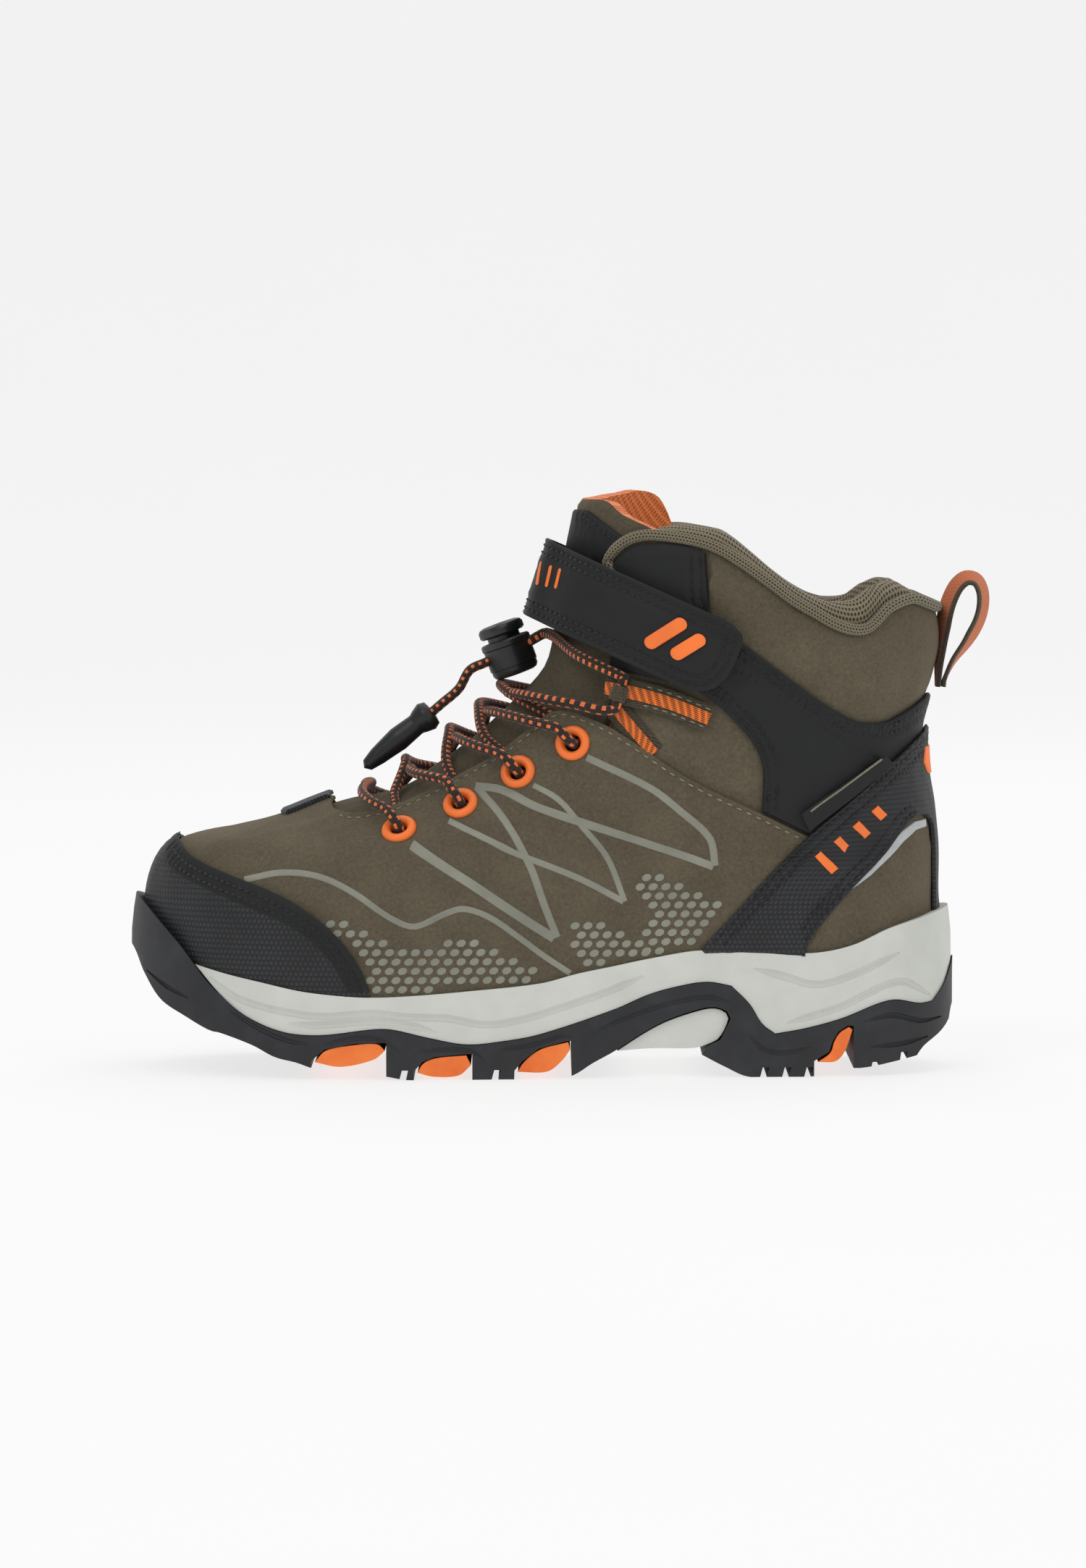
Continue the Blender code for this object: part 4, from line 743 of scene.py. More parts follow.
def braided(name, ground, fleck, around):
    """Braided elastic cord: eight plaited ends round it, with coloured picks in alternate pairs of them."""
    made, tree, shader, where = base_finish(name, 0.8, Sheen_Weight=0.2, Specular_IOR_Level=0.35)
    parts = put(tree, "SeparateXYZ", {"Vector": put(tree, "Mapping", {"Vector": where.outputs["UV"],
                                                                      "Scale": (1000, 1000, 1000)}).outputs[0]})
    column = maths(tree, "MULTIPLY", parts.outputs[1], 8.0 / around)
    row = maths(tree, "MULTIPLY", parts.outputs[0], 1 / 1.05)
    lane = maths(tree, "FLOOR", column)
    even = maths(tree, "LESS_THAN", maths(tree, "MODULO", lane, 2.0), 0.5)
    stagger = maths(tree, "MODULO", maths(tree, "ADD", maths(tree, "FLOOR", row), maths(tree, "MULTIPLY", lane, 0.5)),
                    2.0)
    picked = maths(tree, "LESS_THAN", stagger, 0.6)
    cx = maths(tree, "ABSOLUTE", maths(tree, "SUBTRACT", maths(tree, "FRACT", column), 0.5))
    cy = maths(tree, "ABSOLUTE", maths(tree, "SUBTRACT", maths(tree, "FRACT", row), 0.5))
    window = maths(tree, "MULTIPLY", maths(tree, "LESS_THAN", cx, 0.47), maths(tree, "LESS_THAN", cy, 0.42))
    flecked = maths(tree, "MULTIPLY", maths(tree, "MULTIPLY", even, picked), window)
    fuzz = put(tree, "TexNoise", {"Vector": where.outputs["Object"], "Scale": per_mm(0.35), "Detail": 3.0})
    dark = put(tree, "ValToRGB", {"Fac": fuzz.outputs["Fac"]}, ramp=[(0.3, ground[0]), (0.7, ground[1])])
    bright = put(tree, "ValToRGB", {"Fac": fuzz.outputs["Fac"]}, ramp=[(0.25, fleck[0]), (0.7, fleck[1])])
    tint = put(tree, "MixRGB", {"Fac": flecked, "Color1": dark.outputs[0], "Color2": bright.outputs[0]})
    plait = maths(tree, "MULTIPLY", maths(tree, "SINE", maths(tree, "MULTIPLY", cx, 3.1416)),
                  maths(tree, "SINE", maths(tree, "MULTIPLY", cy, 3.1416)))
    height = maths(tree, "SUBTRACT", maths(tree, "MULTIPLY", fuzz.outputs["Fac"], 0.4), plait)
    dress(tree, shader, tint.outputs[0], height, 0.8, 0.25)
    return made


def moulded(name, dark, mid, light, roughness, grit, depth, specular=0.5, cloud=18.0):
    """A moulding with the fine spark-eroded grain of its mould, a little cloudy from handling."""
    made, tree, shader, where = base_finish(name, roughness, Specular_IOR_Level=specular)
    grain = put(tree, "TexVoronoi", {"Vector": where.outputs["Object"], "Scale": per_mm(grit)}, feature="SMOOTH_F1")
    cloudy = put(tree, "TexNoise", {"Vector": where.outputs["Object"], "Scale": per_mm(cloud), "Detail": 7.0,
                                    "Roughness": 0.6})
    tint = put(tree, "ValToRGB", {"Fac": cloudy.outputs["Fac"]}, ramp=[(0.3, dark), (0.5, mid), (0.7, light)])
    dress(tree, shader, tint.outputs["Color"], grain.outputs["Distance"], 0.45, depth)
    rough = put(tree, "MapRange", {"Value": cloudy.outputs["Fac"], "From Min": 0.3, "From Max": 0.7,
                                   "To Min": roughness - 0.06, "To Max": roughness + 0.08})
    tree.links.new(rough.outputs[0], shader.inputs["Roughness"])
    return made


def shades(middle, low, high):
    """A dark, a middle and a light tone of one colour."""
    return tuple(tuple(c * share for c in middle[:3]) for share in (low, 1.0, high))


FINISHES = {}


def make_finishes(sizes):
    """All the finishes of the boot, by the maker's names."""
    olive, black, orange = sizes.cloth_colour, sizes.black_colour, sizes.orange_colour
    foam, film = sizes.foam_colour, sizes.print_colour
    FINISHES.update({
        "softshell": softshell("brushed olive softshell", *shades(olive, 0.63, 1.38)),
        "tongue_softshell": softshell("tongue softshell", "#463f34", "#575041", "#665d4c"),
        "microfibre": microfibre("black coated microfibre", *shades(black, 0.65, 1.5)),
        "rand": coated_weave("coated basket weave", "#101113", "#313235", 1.35),
        "knit": knitted("olive spacer mesh", "#39332a", "#8f846b", 1.5),
        "binding": knitted("olive knitted binding", "#38332a", "#857b62", 1.1),
        "orange_mesh": knitted("orange spacer mesh", "#e2602a", "#ff9350", 1.7),
        "footbed": knitted("charcoal footbed cloth", "#26251f", "#55503f", 1.4),
        "foam": moulded("moulded grey EVA foam", *shades(foam, 0.93, 1.07), 0.75, 0.45, 0.1, 0.3),
        "tread": moulded("black rubber tread", "#17181a", "#212225", "#2e2f33", 0.58, 0.7, 0.06, 0.5, 9.0),
        "tread_orange": moulded("orange rubber", "#e8641c", "#fb7d2e", "#ff8f45", 0.5, 0.6, 0.05),
        "plastic": moulded("black acetal", "#101113", "#17181a", "#202124", 0.42, 0.4, 0.03),
        "orange_plastic": moulded("orange nylon", *shades(orange, 0.86, 1.12), 0.42, 0.5, 0.03),
        "orange_print": moulded("orange rubber print", *shades(orange, 0.86, 1.12), 0.55, 0.4, 0.02),
        "grey_print": moulded("grey TPU print", *shades(film, 0.82, 1.2), 0.5, 0.5, 0.03),
        "film": moulded("reflective film", "#9fa2a3", "#b4b7b8", "#c6c8c9", 0.35, 0.3, 0.02, 0.7),
        "black_thread": ribbed_tape("black bonded thread", "#101113", "#2b2c2f", pitch=0.5),
        "light_thread": ribbed_tape("khaki bonded thread", "#6f6a58", "#a39d88", pitch=0.5),
        "tape": ribbed_tape("olive woven tape", "#2e2a21", "#5d5442", pitch=0.8),
        "guide_tape": knitted("orange guide webbing", "#6b3216", "#ff8338", 1.1),
        "loop_tape": ribbed_tape("pull tape", "#2b241a", "#5a4c37", (3.2, 6.8, "#e0702c"), 1.1),
        "throat_tape": ribbed_tape("black ribbed tape", "#17181a", "#3a3b3f", pitch=1.2),
        "hook": moulded("black hook tape", "#0f1011", "#17181a", "#222326", 0.9, 0.8, 0.3),
        "cord": braided("braided elastic lace", ("#1f1712", "#36291f"), ("#d8622a", "#ff8a4b"), math.pi * LACE_D),
        "board": moulded("pressed fibre board", "#85775f", "#9a8b71", "#ad9d83", 0.9, 0.6, 0.08),
        "steel": moulded("spring steel strip", "#8f9194", "#a2a4a7", "#b3b5b8", 0.35, 0.5, 0.01),
        "floor": moulded("matt studio sweep", "#828282", "#848484", "#868686", 0.95, 4.0, 0.01, 0.1, 500.0),
    })
    FINISHES["steel"].node_tree.nodes["Principled BSDF"].inputs["Metallic"].default_value = 1.0


# ---------------------------------------------------------------- shared by the pieces of the upper
def feather(x0, x1, lift=0.0):
    """The line where the upper meets the sole, between two lengths."""
    xs = np.arange(x0, x1 + 0.01, 1.6 if x1 > x0 else -1.6)
    return [(x, height_along(FEATHER, x) + lift) for x in xs]


def ripple(flat):
    """Slow unevenness of hand-lasted cloth, shared by every layer so that they stay apart."""
    out = np.empty(len(flat))
    for k, (a, b) in enumerate(flat):
        p = Vector((abs(a) % 600 / 26.0, b / 19.0, 0.4 if a < 0 else 3.1))
        out[k] = 0.34 * noise.noise(p) + 0.16 * noise.noise(p * 2.7)
    ends = np.minimum(np.abs(flat[:, 0]), np.abs(np.abs(flat[:, 0]) - PATTERN[0]))
    return out * np.clip(ends / 14.0, 0, 1)


def upper_panel(name, outline, top, thickness, finish, slot, stands_for=(), **more):
    return cut_panel(name, outline, on_last, top, thickness, FINISHES[finish], "boot", slot, stands_for,
                     lift=ripple, cloth=lambda a, b: cloth_place(a, b), **more)


def follow(line, side, distance):
    """A stitched row that follows the ripple of the cloth below."""
    flat = np.array(pattern(flowing(line, 1.0), side))
    height = distance + ripple(flat)
    points = on_last(flat[:, 0], flat[:, 1], height)
    return points, on_last(flat[:, 0], flat[:, 1], height + 1.0) - points


def both(lines, distance):
    return [follow(line, side, distance) for line in lines for side in (LATERAL, MEDIAL)]


def flat_both(lines):
    """The same rows as flat pattern points, for the cloth to dip under them."""
    return [pattern(flowing(line, 1.2), side) for line in lines for side in (LATERAL, MEDIAL)]


CAP_ROWS = [beside(smooth_line(TOE_CAP_EDGE, 50), -2.3)[2:-1], beside(smooth_line(TOE_CAP_EDGE, 50), -4.3)[3:-2]]
EYESTAY_ROWS = [beside(flowing(EYESTAY_EDGE), -1.3)[1:-1]]
BRACE_ROWS = [beside(flowing(BRACE_FRONT), -1.4)[2:], beside(flowing(BRACE_FRONT), -3.6)[3:],
              beside(flowing(BRACE_WINDOW[:6]), 1.3)[1:], beside(flowing(BRACE_WINDOW[:6]), 3.4)[2:]]
ANKLE_ROWS = [beside(flowing(ANKLE_TOP), -1.3), beside(flowing(ANKLE_TOP), -3.3),
              beside(flowing(ANKLE_BOTTOM[4:11]), -1.6), beside(flowing(ANKLE_BOTTOM[4:11]), -3.8),
              [(41.2, 142), (41.2, 134), (41.6, 127)], [(43.6, 141.5), (43.6, 134), (44, 127)]]
INNER_ANKLE_ROWS = [[(50, 112), (60, 107), (70, 100), (80, 93), (91, 86)]]


def ring_of(line_low, line_high):
    """Pattern outline from the lateral heel round the toe to the medial heel, between two lines that run
    from the heel to the toe."""
    low = [list(p) for p in pattern(line_low, LATERAL)]
    high = [list(p) for p in pattern(line_high, LATERAL)]
    low[0][0] = high[0][0] = -PATTERN[0]
    low[-1][0] = high[-1][0] = 0.0
    mirror_low = [(-a, b) for a, b in reversed(low[:-1])]
    mirror_high = [(-a, b) for a, b in high[:-1]]
    return [tuple(p) for p in low] + mirror_low + mirror_high + [tuple(p) for p in reversed(high)]


def make_vamp():
    """The olive softshell forefoot and quarters, cut in one, with round holes for the eyelets."""
    low = pattern(feather(107, -99, -1.0), LATERAL) + [toe_end(31.2)]
    low[0] = (-PATTERN[0], low[0][1])
    top = pattern([(105.5, 76), (90, 74), (80, 70), (73, 65.3)], LATERAL)
    top += pattern(flowing(EYESTAY_EDGE[::-1]), LATERAL)
    top[0] = (-PATTERN[0], top[0][1])
    throat = (0.0, pattern([(-56.8, 73.6)], LATERAL)[0][1])
    top.append((top[-1][0] * 0.45, throat[1] - 0.3))
    outline = low + [(-a, b) for a, b in reversed(low[:-1])] + [(-a, b) for a, b in top] + [throat] + top[::-1]
    holes = []
    for x, z in EYELETS:
        for side in (LATERAL, MEDIAL):
            centre = side_point(x, z, side)
            normal = side_normal(x, z, side)
            across = normal.cross(Vector((0, 0, 1))).normalized()
            up = normal.cross(across)
            loop = []
            for k in range(20):
                angle = 2 * math.pi * k / 20
                p = centre + (across * math.cos(angle) + up * math.sin(angle)) * 3.0
                loop += pattern([(p.x, p.z)], side)
            holes.append(loop)
    upper_panel("vamp", outline, QUARTER_TOP, 1.15, "softshell", "olive_softshell", ["vamp_quarter"], pitch=1.9,
                holes=holes, sewn=flat_both(EYESTAY_ROWS))


def make_shaft():
    """The olive ankle cuff panel and the piece of it seen below the ankle overlay."""
    collar = pattern(beside(flowing(COLLAR_LINE), 0.4), MEDIAL)
    low = pattern(flowing([(19.5, 84), (30, 77), (45, 69), (60, 63.5), (75, 58.5), (107, 57)]), MEDIAL)
    closed = from_heel([(PATTERN[0], collar[-1][1])] + collar[::-1] + low[:-1] + [(PATTERN[0], low[-1][1])])
    cut_panel("cuff_panel", closed, on_last, BASE_TOP, 1.3, FINISHES["softshell"], "boot", "olive_softshell",
              ["shaft_panel"], pitch=2.0, cloth=cloth_place, lift=cuff_puff)


def cuff_puff(flat):
    """The cuff is filled with foam, so it stands proud between its seams, most under the collar."""
    out = ripple(flat)
    for k, (a, b) in enumerate(flat):
        p = on_last(np.array([a]), np.array([b]), np.array([0.0]))[0]
        x, z = p[0], p[2]
        rim = height_along(COLLAR_LINE, x)
        seam = height_along(ANKLE_TOP, x)
        if x > 46 and seam < z < rim:
            share = (z - seam) / max(rim - seam, 1)
            out[k] += 1.5 * math.sin(math.pi * min(1.0, share)) ** 0.8
    return out


def make_overlays():
    """Black overlays: woven toe cap and heel brace, and the coated ankle overlay with its lace facing."""
    cap = pattern([(-100.5, 63.6)] + list(flowing(TOE_CAP_EDGE)) + feather(-47.5, -99, -0.8), LATERAL)
    cap.append(toe_end(31.4))
    upper_panel("toe_cap_weave", from_toe(cap), COVER_TOP, 1.0, "rand", "woven_overlay", ["toe_cap"], pitch=1.8,
                sewn=flat_both(CAP_ROWS), edge=0.6)
    inner = beside(smooth_line(TOE_CAP_EDGE, 60), -5.6)[4:-3]
    band = list(flowing(TOE_CAP_EDGE))[1:-1] + [tuple(p) for p in inner[::-1]]
    for side, name in SIDES:
        upper_panel("toe_cap_edge_" + name, pattern(band, side), COVER_TOP + 0.22, 0.4, "microfibre",
                    "black_overlay", pitch=1.4, sewn=flat_both(CAP_ROWS), edge=0.35)
    brace = pattern([(105.2, 94.8)] + list(flowing(BRACE_FRONT[::-1])) + feather(44.5, 107.5, -0.8), MEDIAL)
    window = pattern(list(flowing(BRACE_WINDOW[:6])) + list(flowing(BRACE_WINDOW[5:]))
                     + feather(105.5, 71.5, -3), MEDIAL)
    holes = [window, [(2 * PATTERN[0] - a, b) for a, b in window]]
    upper_panel("heel_brace_weave", from_heel(brace), COVER_TOP, 1.0, "rand", "woven_overlay", ["heel_brace"],
                pitch=1.8, holes=holes, sewn=wrapped(flat_both(BRACE_ROWS)), edge=0.6)
    facing = [(20, 139), (23, 142.3), (27, 144.6), (38, 144.6), (45, 142.6)]
    ankle = pattern(list(flowing(ANKLE_BOTTOM[:4])) + list(flowing(ANKLE_BOTTOM[4:])) + list(flowing(facing))
                    + list(flowing(ANKLE_TOP)), MEDIAL)
    upper_panel("ankle_overlay_skin", from_heel(ankle), QUARTER_TOP, 1.1, "microfibre", "black_overlay",
                ["ankle_overlay"], pitch=1.8, sewn=wrapped(flat_both(ANKLE_ROWS + INNER_ANKLE_ROWS)), edge=0.6)


def wrapped(rows):
    """Lateral rows moved to the far side of the heel seam, where heel pieces are cut."""
    return [[(a + 2 * PATTERN[0] if a < 0 else a, b) for a, b in row] for row in rows]


def make_stitching():
    """Every visible row of thread on the upper."""
    thread_rows("cap_and_brace_thread", both(CAP_ROWS, COVER_TOP + 0.12) + both(BRACE_ROWS, COVER_TOP - 0.1),
                FINISHES["black_thread"], "boot", 2.3, 0.36)
    thread_rows("ankle_thread", both(ANKLE_ROWS, QUARTER_TOP - 0.1), FINISHES["black_thread"], "boot",
                2.3, 0.34)
    thread_rows("eyestay_thread", both(EYESTAY_ROWS, QUARTER_TOP - 0.12), FINISHES["light_thread"], "boot",
                2.9, 0.3)


# ---------------------------------------------------------------- prints on the quarter
PRINT_LINES = [([(-80, 52.6), (-70, 54.7), (-60, 54), (-50, 49.8), (-40, 43.5), (-34, 41.5), (-26, 44.8), (-21, 46.2),
                 (-14, 44), (-5, 37.8), (0, 34), (8, 28.6)], 1.6),
               ([(-34.6, 62.3), (-20, 53.5), (-8, 45.6), (0, 40.4), (3.6, 38.2)], 2.5),
               ([(4.4, 38.4), (1, 47), (-3, 58), (-10, 70), (-17, 77.6)], 2.0),
               ([(-17.2, 77.8), (-10, 77), (0, 72.6), (20, 66.5), (40, 60), (47, 57.4)], 2.2),
               ([(47.4, 57.6), (46, 65), (38, 72.5), (30, 78.5), (13, 86.6)], 2.0),
               ([(-24.5, 68.8), (-10, 62.3), (10, 54.5), (22.5, 48)], 1.7),
               ([(22.8, 48), (18, 60), (11, 68.5), (5, 75), (-1.6, 78.6)], 1.6)]
DOT_ZONES = [[(-67, 47), (-52, 43), (-45, 40.5), (-41, 37), (-35, 35), (-28, 36.5), (-20, 40.3), (-10, 35),
              (0, 29), (6, 28.6), (4, 24), (-20, 21), (-47, 19), (-48, 29), (-52, 35.5), (-58, 41.8)],
             [(7.5, 45.5), (21, 40.5), (30, 36), (34, 31), (20, 27), (9, 26)],
             [(23.5, 58), (33, 56.5), (45, 50), (50, 46.6), (44, 38.5), (41, 31), (24, 29), (27, 38), (29, 46),
              (26, 52)]]


DOT_PITCH_X, DOT_PITCH_Z = 3.5, 2.5


def ribbon(line, width):
    """A closed side-view strip along a line."""
    smooth = flowing(line, 1.4)
    return [tuple(p) for p in beside(smooth, width / 2)] + [tuple(p) for p in beside(smooth, -width / 2)[::-1]]


def strip_on(name, line, width, side, top, thickness, finish, slot, stands_for=(), **more):
    return upper_panel(name, pattern(ribbon(line, width), side), top, thickness, finish, slot, stands_for,
                       **{"pitch": 1.3, "edge": min(0.3, width / 6), **more})


def make_prints(half_length):
    """Grey film lines, and fields of small raised dots, welded on the quarters."""
    for k, (line, width) in enumerate(PRINT_LINES):
        for side, name in SIDES:
            strip_on("print_line_%s_%d" % (name, k + 1), line, width, side, QUARTER_TOP + 0.2, 0.4, "grey_print",
                     "reflective_piping", edge=0.22)
    bm = bmesh.new()
    for side in (LATERAL, MEDIAL):
        for zone in DOT_ZONES:
            low, high = np.min(zone, axis=0), np.max(zone, axis=0)
            for j, z in enumerate(np.arange(low[1] - 2, high[1], DOT_PITCH_Z)):
                for x in np.arange(low[0] + (DOT_PITCH_X / 2 if j % 2 else 0), high[0], DOT_PITCH_X):
                    floor = height_along(FEATHER, x)
                    if z < floor + 1.3 or not within(np.array([[x, z]]), inset_loop(evened(zone), 0.7))[0]:
                        continue
                    turn, rise = turn_and_rise(x, z, side)
                    base = Vector(laid(turn, rise, np.array(QUARTER_TOP)
                                       + ripple(np.array([[turn * PATTERN[0], rise * PATTERN[1]]]))[0]))
                    out = side_normal(x, z, side)
                    ahead = (Vector((0.94, 0, 0.34)) - out * out.dot(Vector((0.94, 0, 0.34)))).normalized()
                    turned = Matrix((ahead, out.cross(ahead), out)).transposed().to_4x4()
                    made = bmesh.ops.create_circle(bm, segments=8, radius=1.0, cap_ends=True)
                    face = made["verts"][0].link_faces[0]
                    bmesh.ops.extrude_face_region(bm, geom=[face])
                    island = set(made["verts"])
                    island |= {v for w in made["verts"] for e in w.link_edges for v in e.verts}
                    high_ring = [v for v in island if v not in made["verts"]]
                    bmesh.ops.translate(bm, verts=high_ring, vec=(0, 0, 0.34))
                    bmesh.ops.scale(bm, verts=high_ring, vec=(0.86, 0.82, 1.0))
                    bmesh.ops.transform(bm, matrix=Matrix.Translation(base - out * 0.12) @ turned
                                        @ Matrix.Diagonal((half_length, 0.75 * half_length, 1.0, 1.0)),
                                        verts=list(island))
    finish_piece("print_dots", mesh_of(bm, "print_dots"), FINISHES["grey_print"], "boot")


def make_marks():
    """Piping in the brace windows, the heel mark, the side tag, and plain orange bars where a mark would be."""
    piping = evened([(84.2, 51.0), (89.2, 54.7), (94.2, 59.4), (98, 63.4), (101.3, 66.2), (104.2, 66.8),
                     (104.2, 69), (101, 68.6), (97.3, 66.2), (93, 61.6), (88.4, 56.2), (83.4, 51.6)], 1.3)
    for side, name in SIDES:
        upper_panel("window_piping_" + name, pattern(piping, side), QUARTER_TOP + 0.55, 0.7, "film",
                    "reflective_piping", ["heel_piping_" + name], pitch=1.1, edge=0.3)
        for k, (x, z, length) in enumerate(((77.5, 58.6, 6.6), (81.9, 62.9, 5.6), (86.3, 67.2, 4.6),
                                              (90.7, 71.5, 3.6))):
            bar = [(x - 0.34 * length, z + 0.37 * length), (x + 0.34 * length, z - 0.37 * length)]
            strip_on("brace_bar_%s_%d" % (name, k + 1), bar, 2.3, side, COVER_TOP + 0.25, 0.5, "orange_print",
                     "orange_plastic")
    heel = from_heel(pattern([(104.4, 89), (102.6, 88.6), (102.4, 84.5), (103.8, 81), (104.6, 80.6)], MEDIAL))
    upper_panel("heel_mark_print", heel, COVER_TOP + 0.5, 0.8, "orange_print", "orange_plastic", ["heel_mark"],
                pitch=1.2, edge=0.4)
    tag = evened([(70.5, 72), (73, 67), (94, 84.5), (91.5, 87)])
    upper_panel("side_tag_cloth", pattern(tag, LATERAL), 4.1, 0.8, "microfibre", "black_overlay", ["side_tag"],
                pitch=1.4, edge=0.35)
    strip_on("side_tag_line", [(73.2, 72.6), (90.6, 86.2)], 0.5, LATERAL, 4.2, 0.3, "light_thread", "black_overlay",
             edge=0.12)


# ---------------------------------------------------------------- the sole
def sole_ring(z, grow, front, back, steps=120):
    turn = np.concatenate([np.linspace(0, -1, steps + 1)[:-1], np.linspace(1, 0, steps + 1)[:-1]])
    side = np.concatenate([np.full(steps + 1, LATERAL), np.full(steps - 1, MEDIAL)])
    x = front + (back - front) * (1 - np.cos(np.pi * turn)) / 2
    ends = (np.sqrt(1 - np.maximum(0, 1 - (x - front) / 62) ** 2) * np.sqrt(1 - np.maximum(0, 1 - (back - x) / 35) ** 2))
    width = np.where(side == LATERAL, half_width(x, np.full_like(x, 20.0), LATERAL),
                     half_width(x, np.full_like(x, 20.0), MEDIAL))
    y = hermite(*CENTRE_LINE, x) + side * (width + grow) * ends
    return np.stack([x, y, np.full_like(x, z)], axis=1)


SOLE_LEVELS = [(-3, 1.2, -0.5), (6, 2.4, 0.0), (16, 3.2, 0.0), (26, 3.0, 0.0), (38, 2.6, 0.0), (50, 1.6, 1.6),
               (60, 0.0, 4.0)]


def sole_blank(grow):
    """The sole's rounded side walls as one solid, for the side outline to trim."""
    bm = bmesh.new()
    zs = [-3, 2, 6, 11, 16, 21, 26, 32, 38, 44, 50, 55, 60]
    rings = []
    for z in zs:
        out = float(hermite([r[0] for r in SOLE_LEVELS], [r[1] for r in SOLE_LEVELS], z)) + grow
        back = float(hermite([r[0] for r in SOLE_LEVELS], [r[2] for r in SOLE_LEVELS], z))
        ring = sole_ring(z, out, SOLE_FRONT + back - grow, SOLE_BACK - back + grow)
        verts = [bm.verts.new(p) for p in ring]
        rings.append([bm.edges.new((a, b)) for a, b in zip(verts, verts[1:] + verts[:1])])
    for low, high in zip(rings, rings[1:]):
        bmesh.ops.bridge_loops(bm, edges=low + high)
    for ring in (rings[0], rings[-1]):
        bmesh.ops.contextual_create(bm, geom=ring)
    return bm


def side_prism(outline, y0=-70.0, y1=70.0):
    """A side outline drawn out across the boot."""
    bm = bmesh.new()
    face = bm.faces.new([bm.verts.new((p[0], y0, p[1])) for p in outline])
    made = bmesh.ops.extrude_face_region(bm, geom=[face])
    bmesh.ops.translate(bm, verts=[v for v in made["geom"] if isinstance(v, bmesh.types.BMVert)], vec=(0, y1 - y0, 0))
    return bm


def carved(bm, steps):
    """The solid left after exact Booleans, each an (operation, bmesh)."""
    def temporary(source):
        mesh = mesh_of(source, "blank")
        obj = bpy.data.objects.new("blank", mesh)
        bpy.context.scene.collection.objects.link(obj)
        return obj

    solid = temporary(bm)
    cutters = [temporary(cutter) for _, cutter in steps]
    for (operation, _), cutter in zip(steps, cutters):
        step = solid.modifiers.new(operation, "BOOLEAN")
        step.operation, step.solver, step.object = operation, "EXACT", cutter
    bpy.context.view_layer.update()
    done = bpy.data.meshes.new_from_object(solid.evaluated_get(bpy.context.evaluated_depsgraph_get()))
    for obj in [solid] + cutters:
        bpy.data.objects.remove(obj, do_unlink=True)
    return done


def wall_tube(line, side, radius, lift=0.0, sides=8):
    """A round cutter that runs along a line on the sole's side wall."""
    p = []
    for x, z in flowing(line, 2.0):
        out = float(hermite([r[0] for r in SOLE_LEVELS], [r[1] for r in SOLE_LEVELS], z))
        ring = sole_ring(z, out, SOLE_FRONT, SOLE_BACK, 240)
        half = ring[:241] if side == LATERAL else ring[241:][::-1]
        y = np.interp(x, half[:, 0], half[:, 1])
        p.append((x, y + side * lift, z))
    p = np.array(p)
    _, across, up = frames_along(p)
    bm = bmesh.new()
    rings = []
    for k in range(len(p)):
        r = radius * min(1.0, 0.35 + 0.25 * min(k, len(p) - 1 - k))
        verts = [bm.verts.new(p[k] + across[k] * r * math.cos(a) + up[k] * r * math.sin(a))
                 for a in np.linspace(0, 2 * math.pi, sides + 1)[:-1]]
        rings.append([bm.edges.new((a, b)) for a, b in zip(verts, verts[1:] + verts[:1])])
    for low, high in zip(rings, rings[1:]):
        bmesh.ops.bridge_loops(bm, edges=low + high)
    for ring in (rings[0], rings[-1]):
        bmesh.ops.contextual_create(bm, geom=ring)
    return bm


def soften(obj, width, segments=2, angle=38):
    """Rounds the edges that a mould would round."""
    step = obj.modifiers.new("Soft edges", "BEVEL")
    step.width = width * 0.001
    step.segments = segments
    step.limit_method = "ANGLE"
    step.angle_limit = math.radians(angle)
    step.use_clamp_overlap = True
    return obj


def closed_line(points, step=1.6, corner=28):
    """A closed outline with smooth runs between its sharp corners."""
    p = [tuple(q) for q in points]
    n = len(p)
    sharp = []
    for k in range(n):
        a, b, c = Vector(p[k - 1]), Vector(p[k]), Vector(p[(k + 1) % n])
        if math.degrees((b - a).angle(c - b)) > corner:
            sharp.append(k)
    if not sharp:
        return [tuple(q) for q in flowing(p + [p[0]], step)[:-1]]
    out = []
    for i, k in enumerate(sharp):
        nxt = sharp[(i + 1) % len(sharp)]
        run = [p[(k + j) % n] for j in range(((nxt - k) % n or n) + 1)]
        out += [tuple(q) for q in (flowing(run, step) if len(run) > 2 else np.array(run))[:-1]]
    return out


def make_midsole():
    """Grey foam wedge with moulded grooves, and the foam bridge seen under the arch."""
    outline = closed_line(MIDSOLE_BOTTOM + [(120, 47)] + [p for p in reversed(FEATHER) if p[0] > -94][1:])
    cuts = [("INTERSECT", side_prism(outline))]
    for line in MIDSOLE_GROOVES:
        for side in (LATERAL, MEDIAL):
            cuts.append(("DIFFERENCE", wall_tube(line, side, 1.15, 0.2)))
    midsole = finish_piece("midsole_foam", carved(sole_blank(0.0), cuts), FINISHES["foam"], "boot",
                           ["midsole"], smooth=35)
    bridge = carved(sole_blank(-0.8), [("INTERSECT", side_prism(closed_line(ARCH_PIECE, corner=60)))])
    finish_piece("arch_foam", bridge, FINISHES["foam"], "boot", ["arch_bridge"])
    return midsole


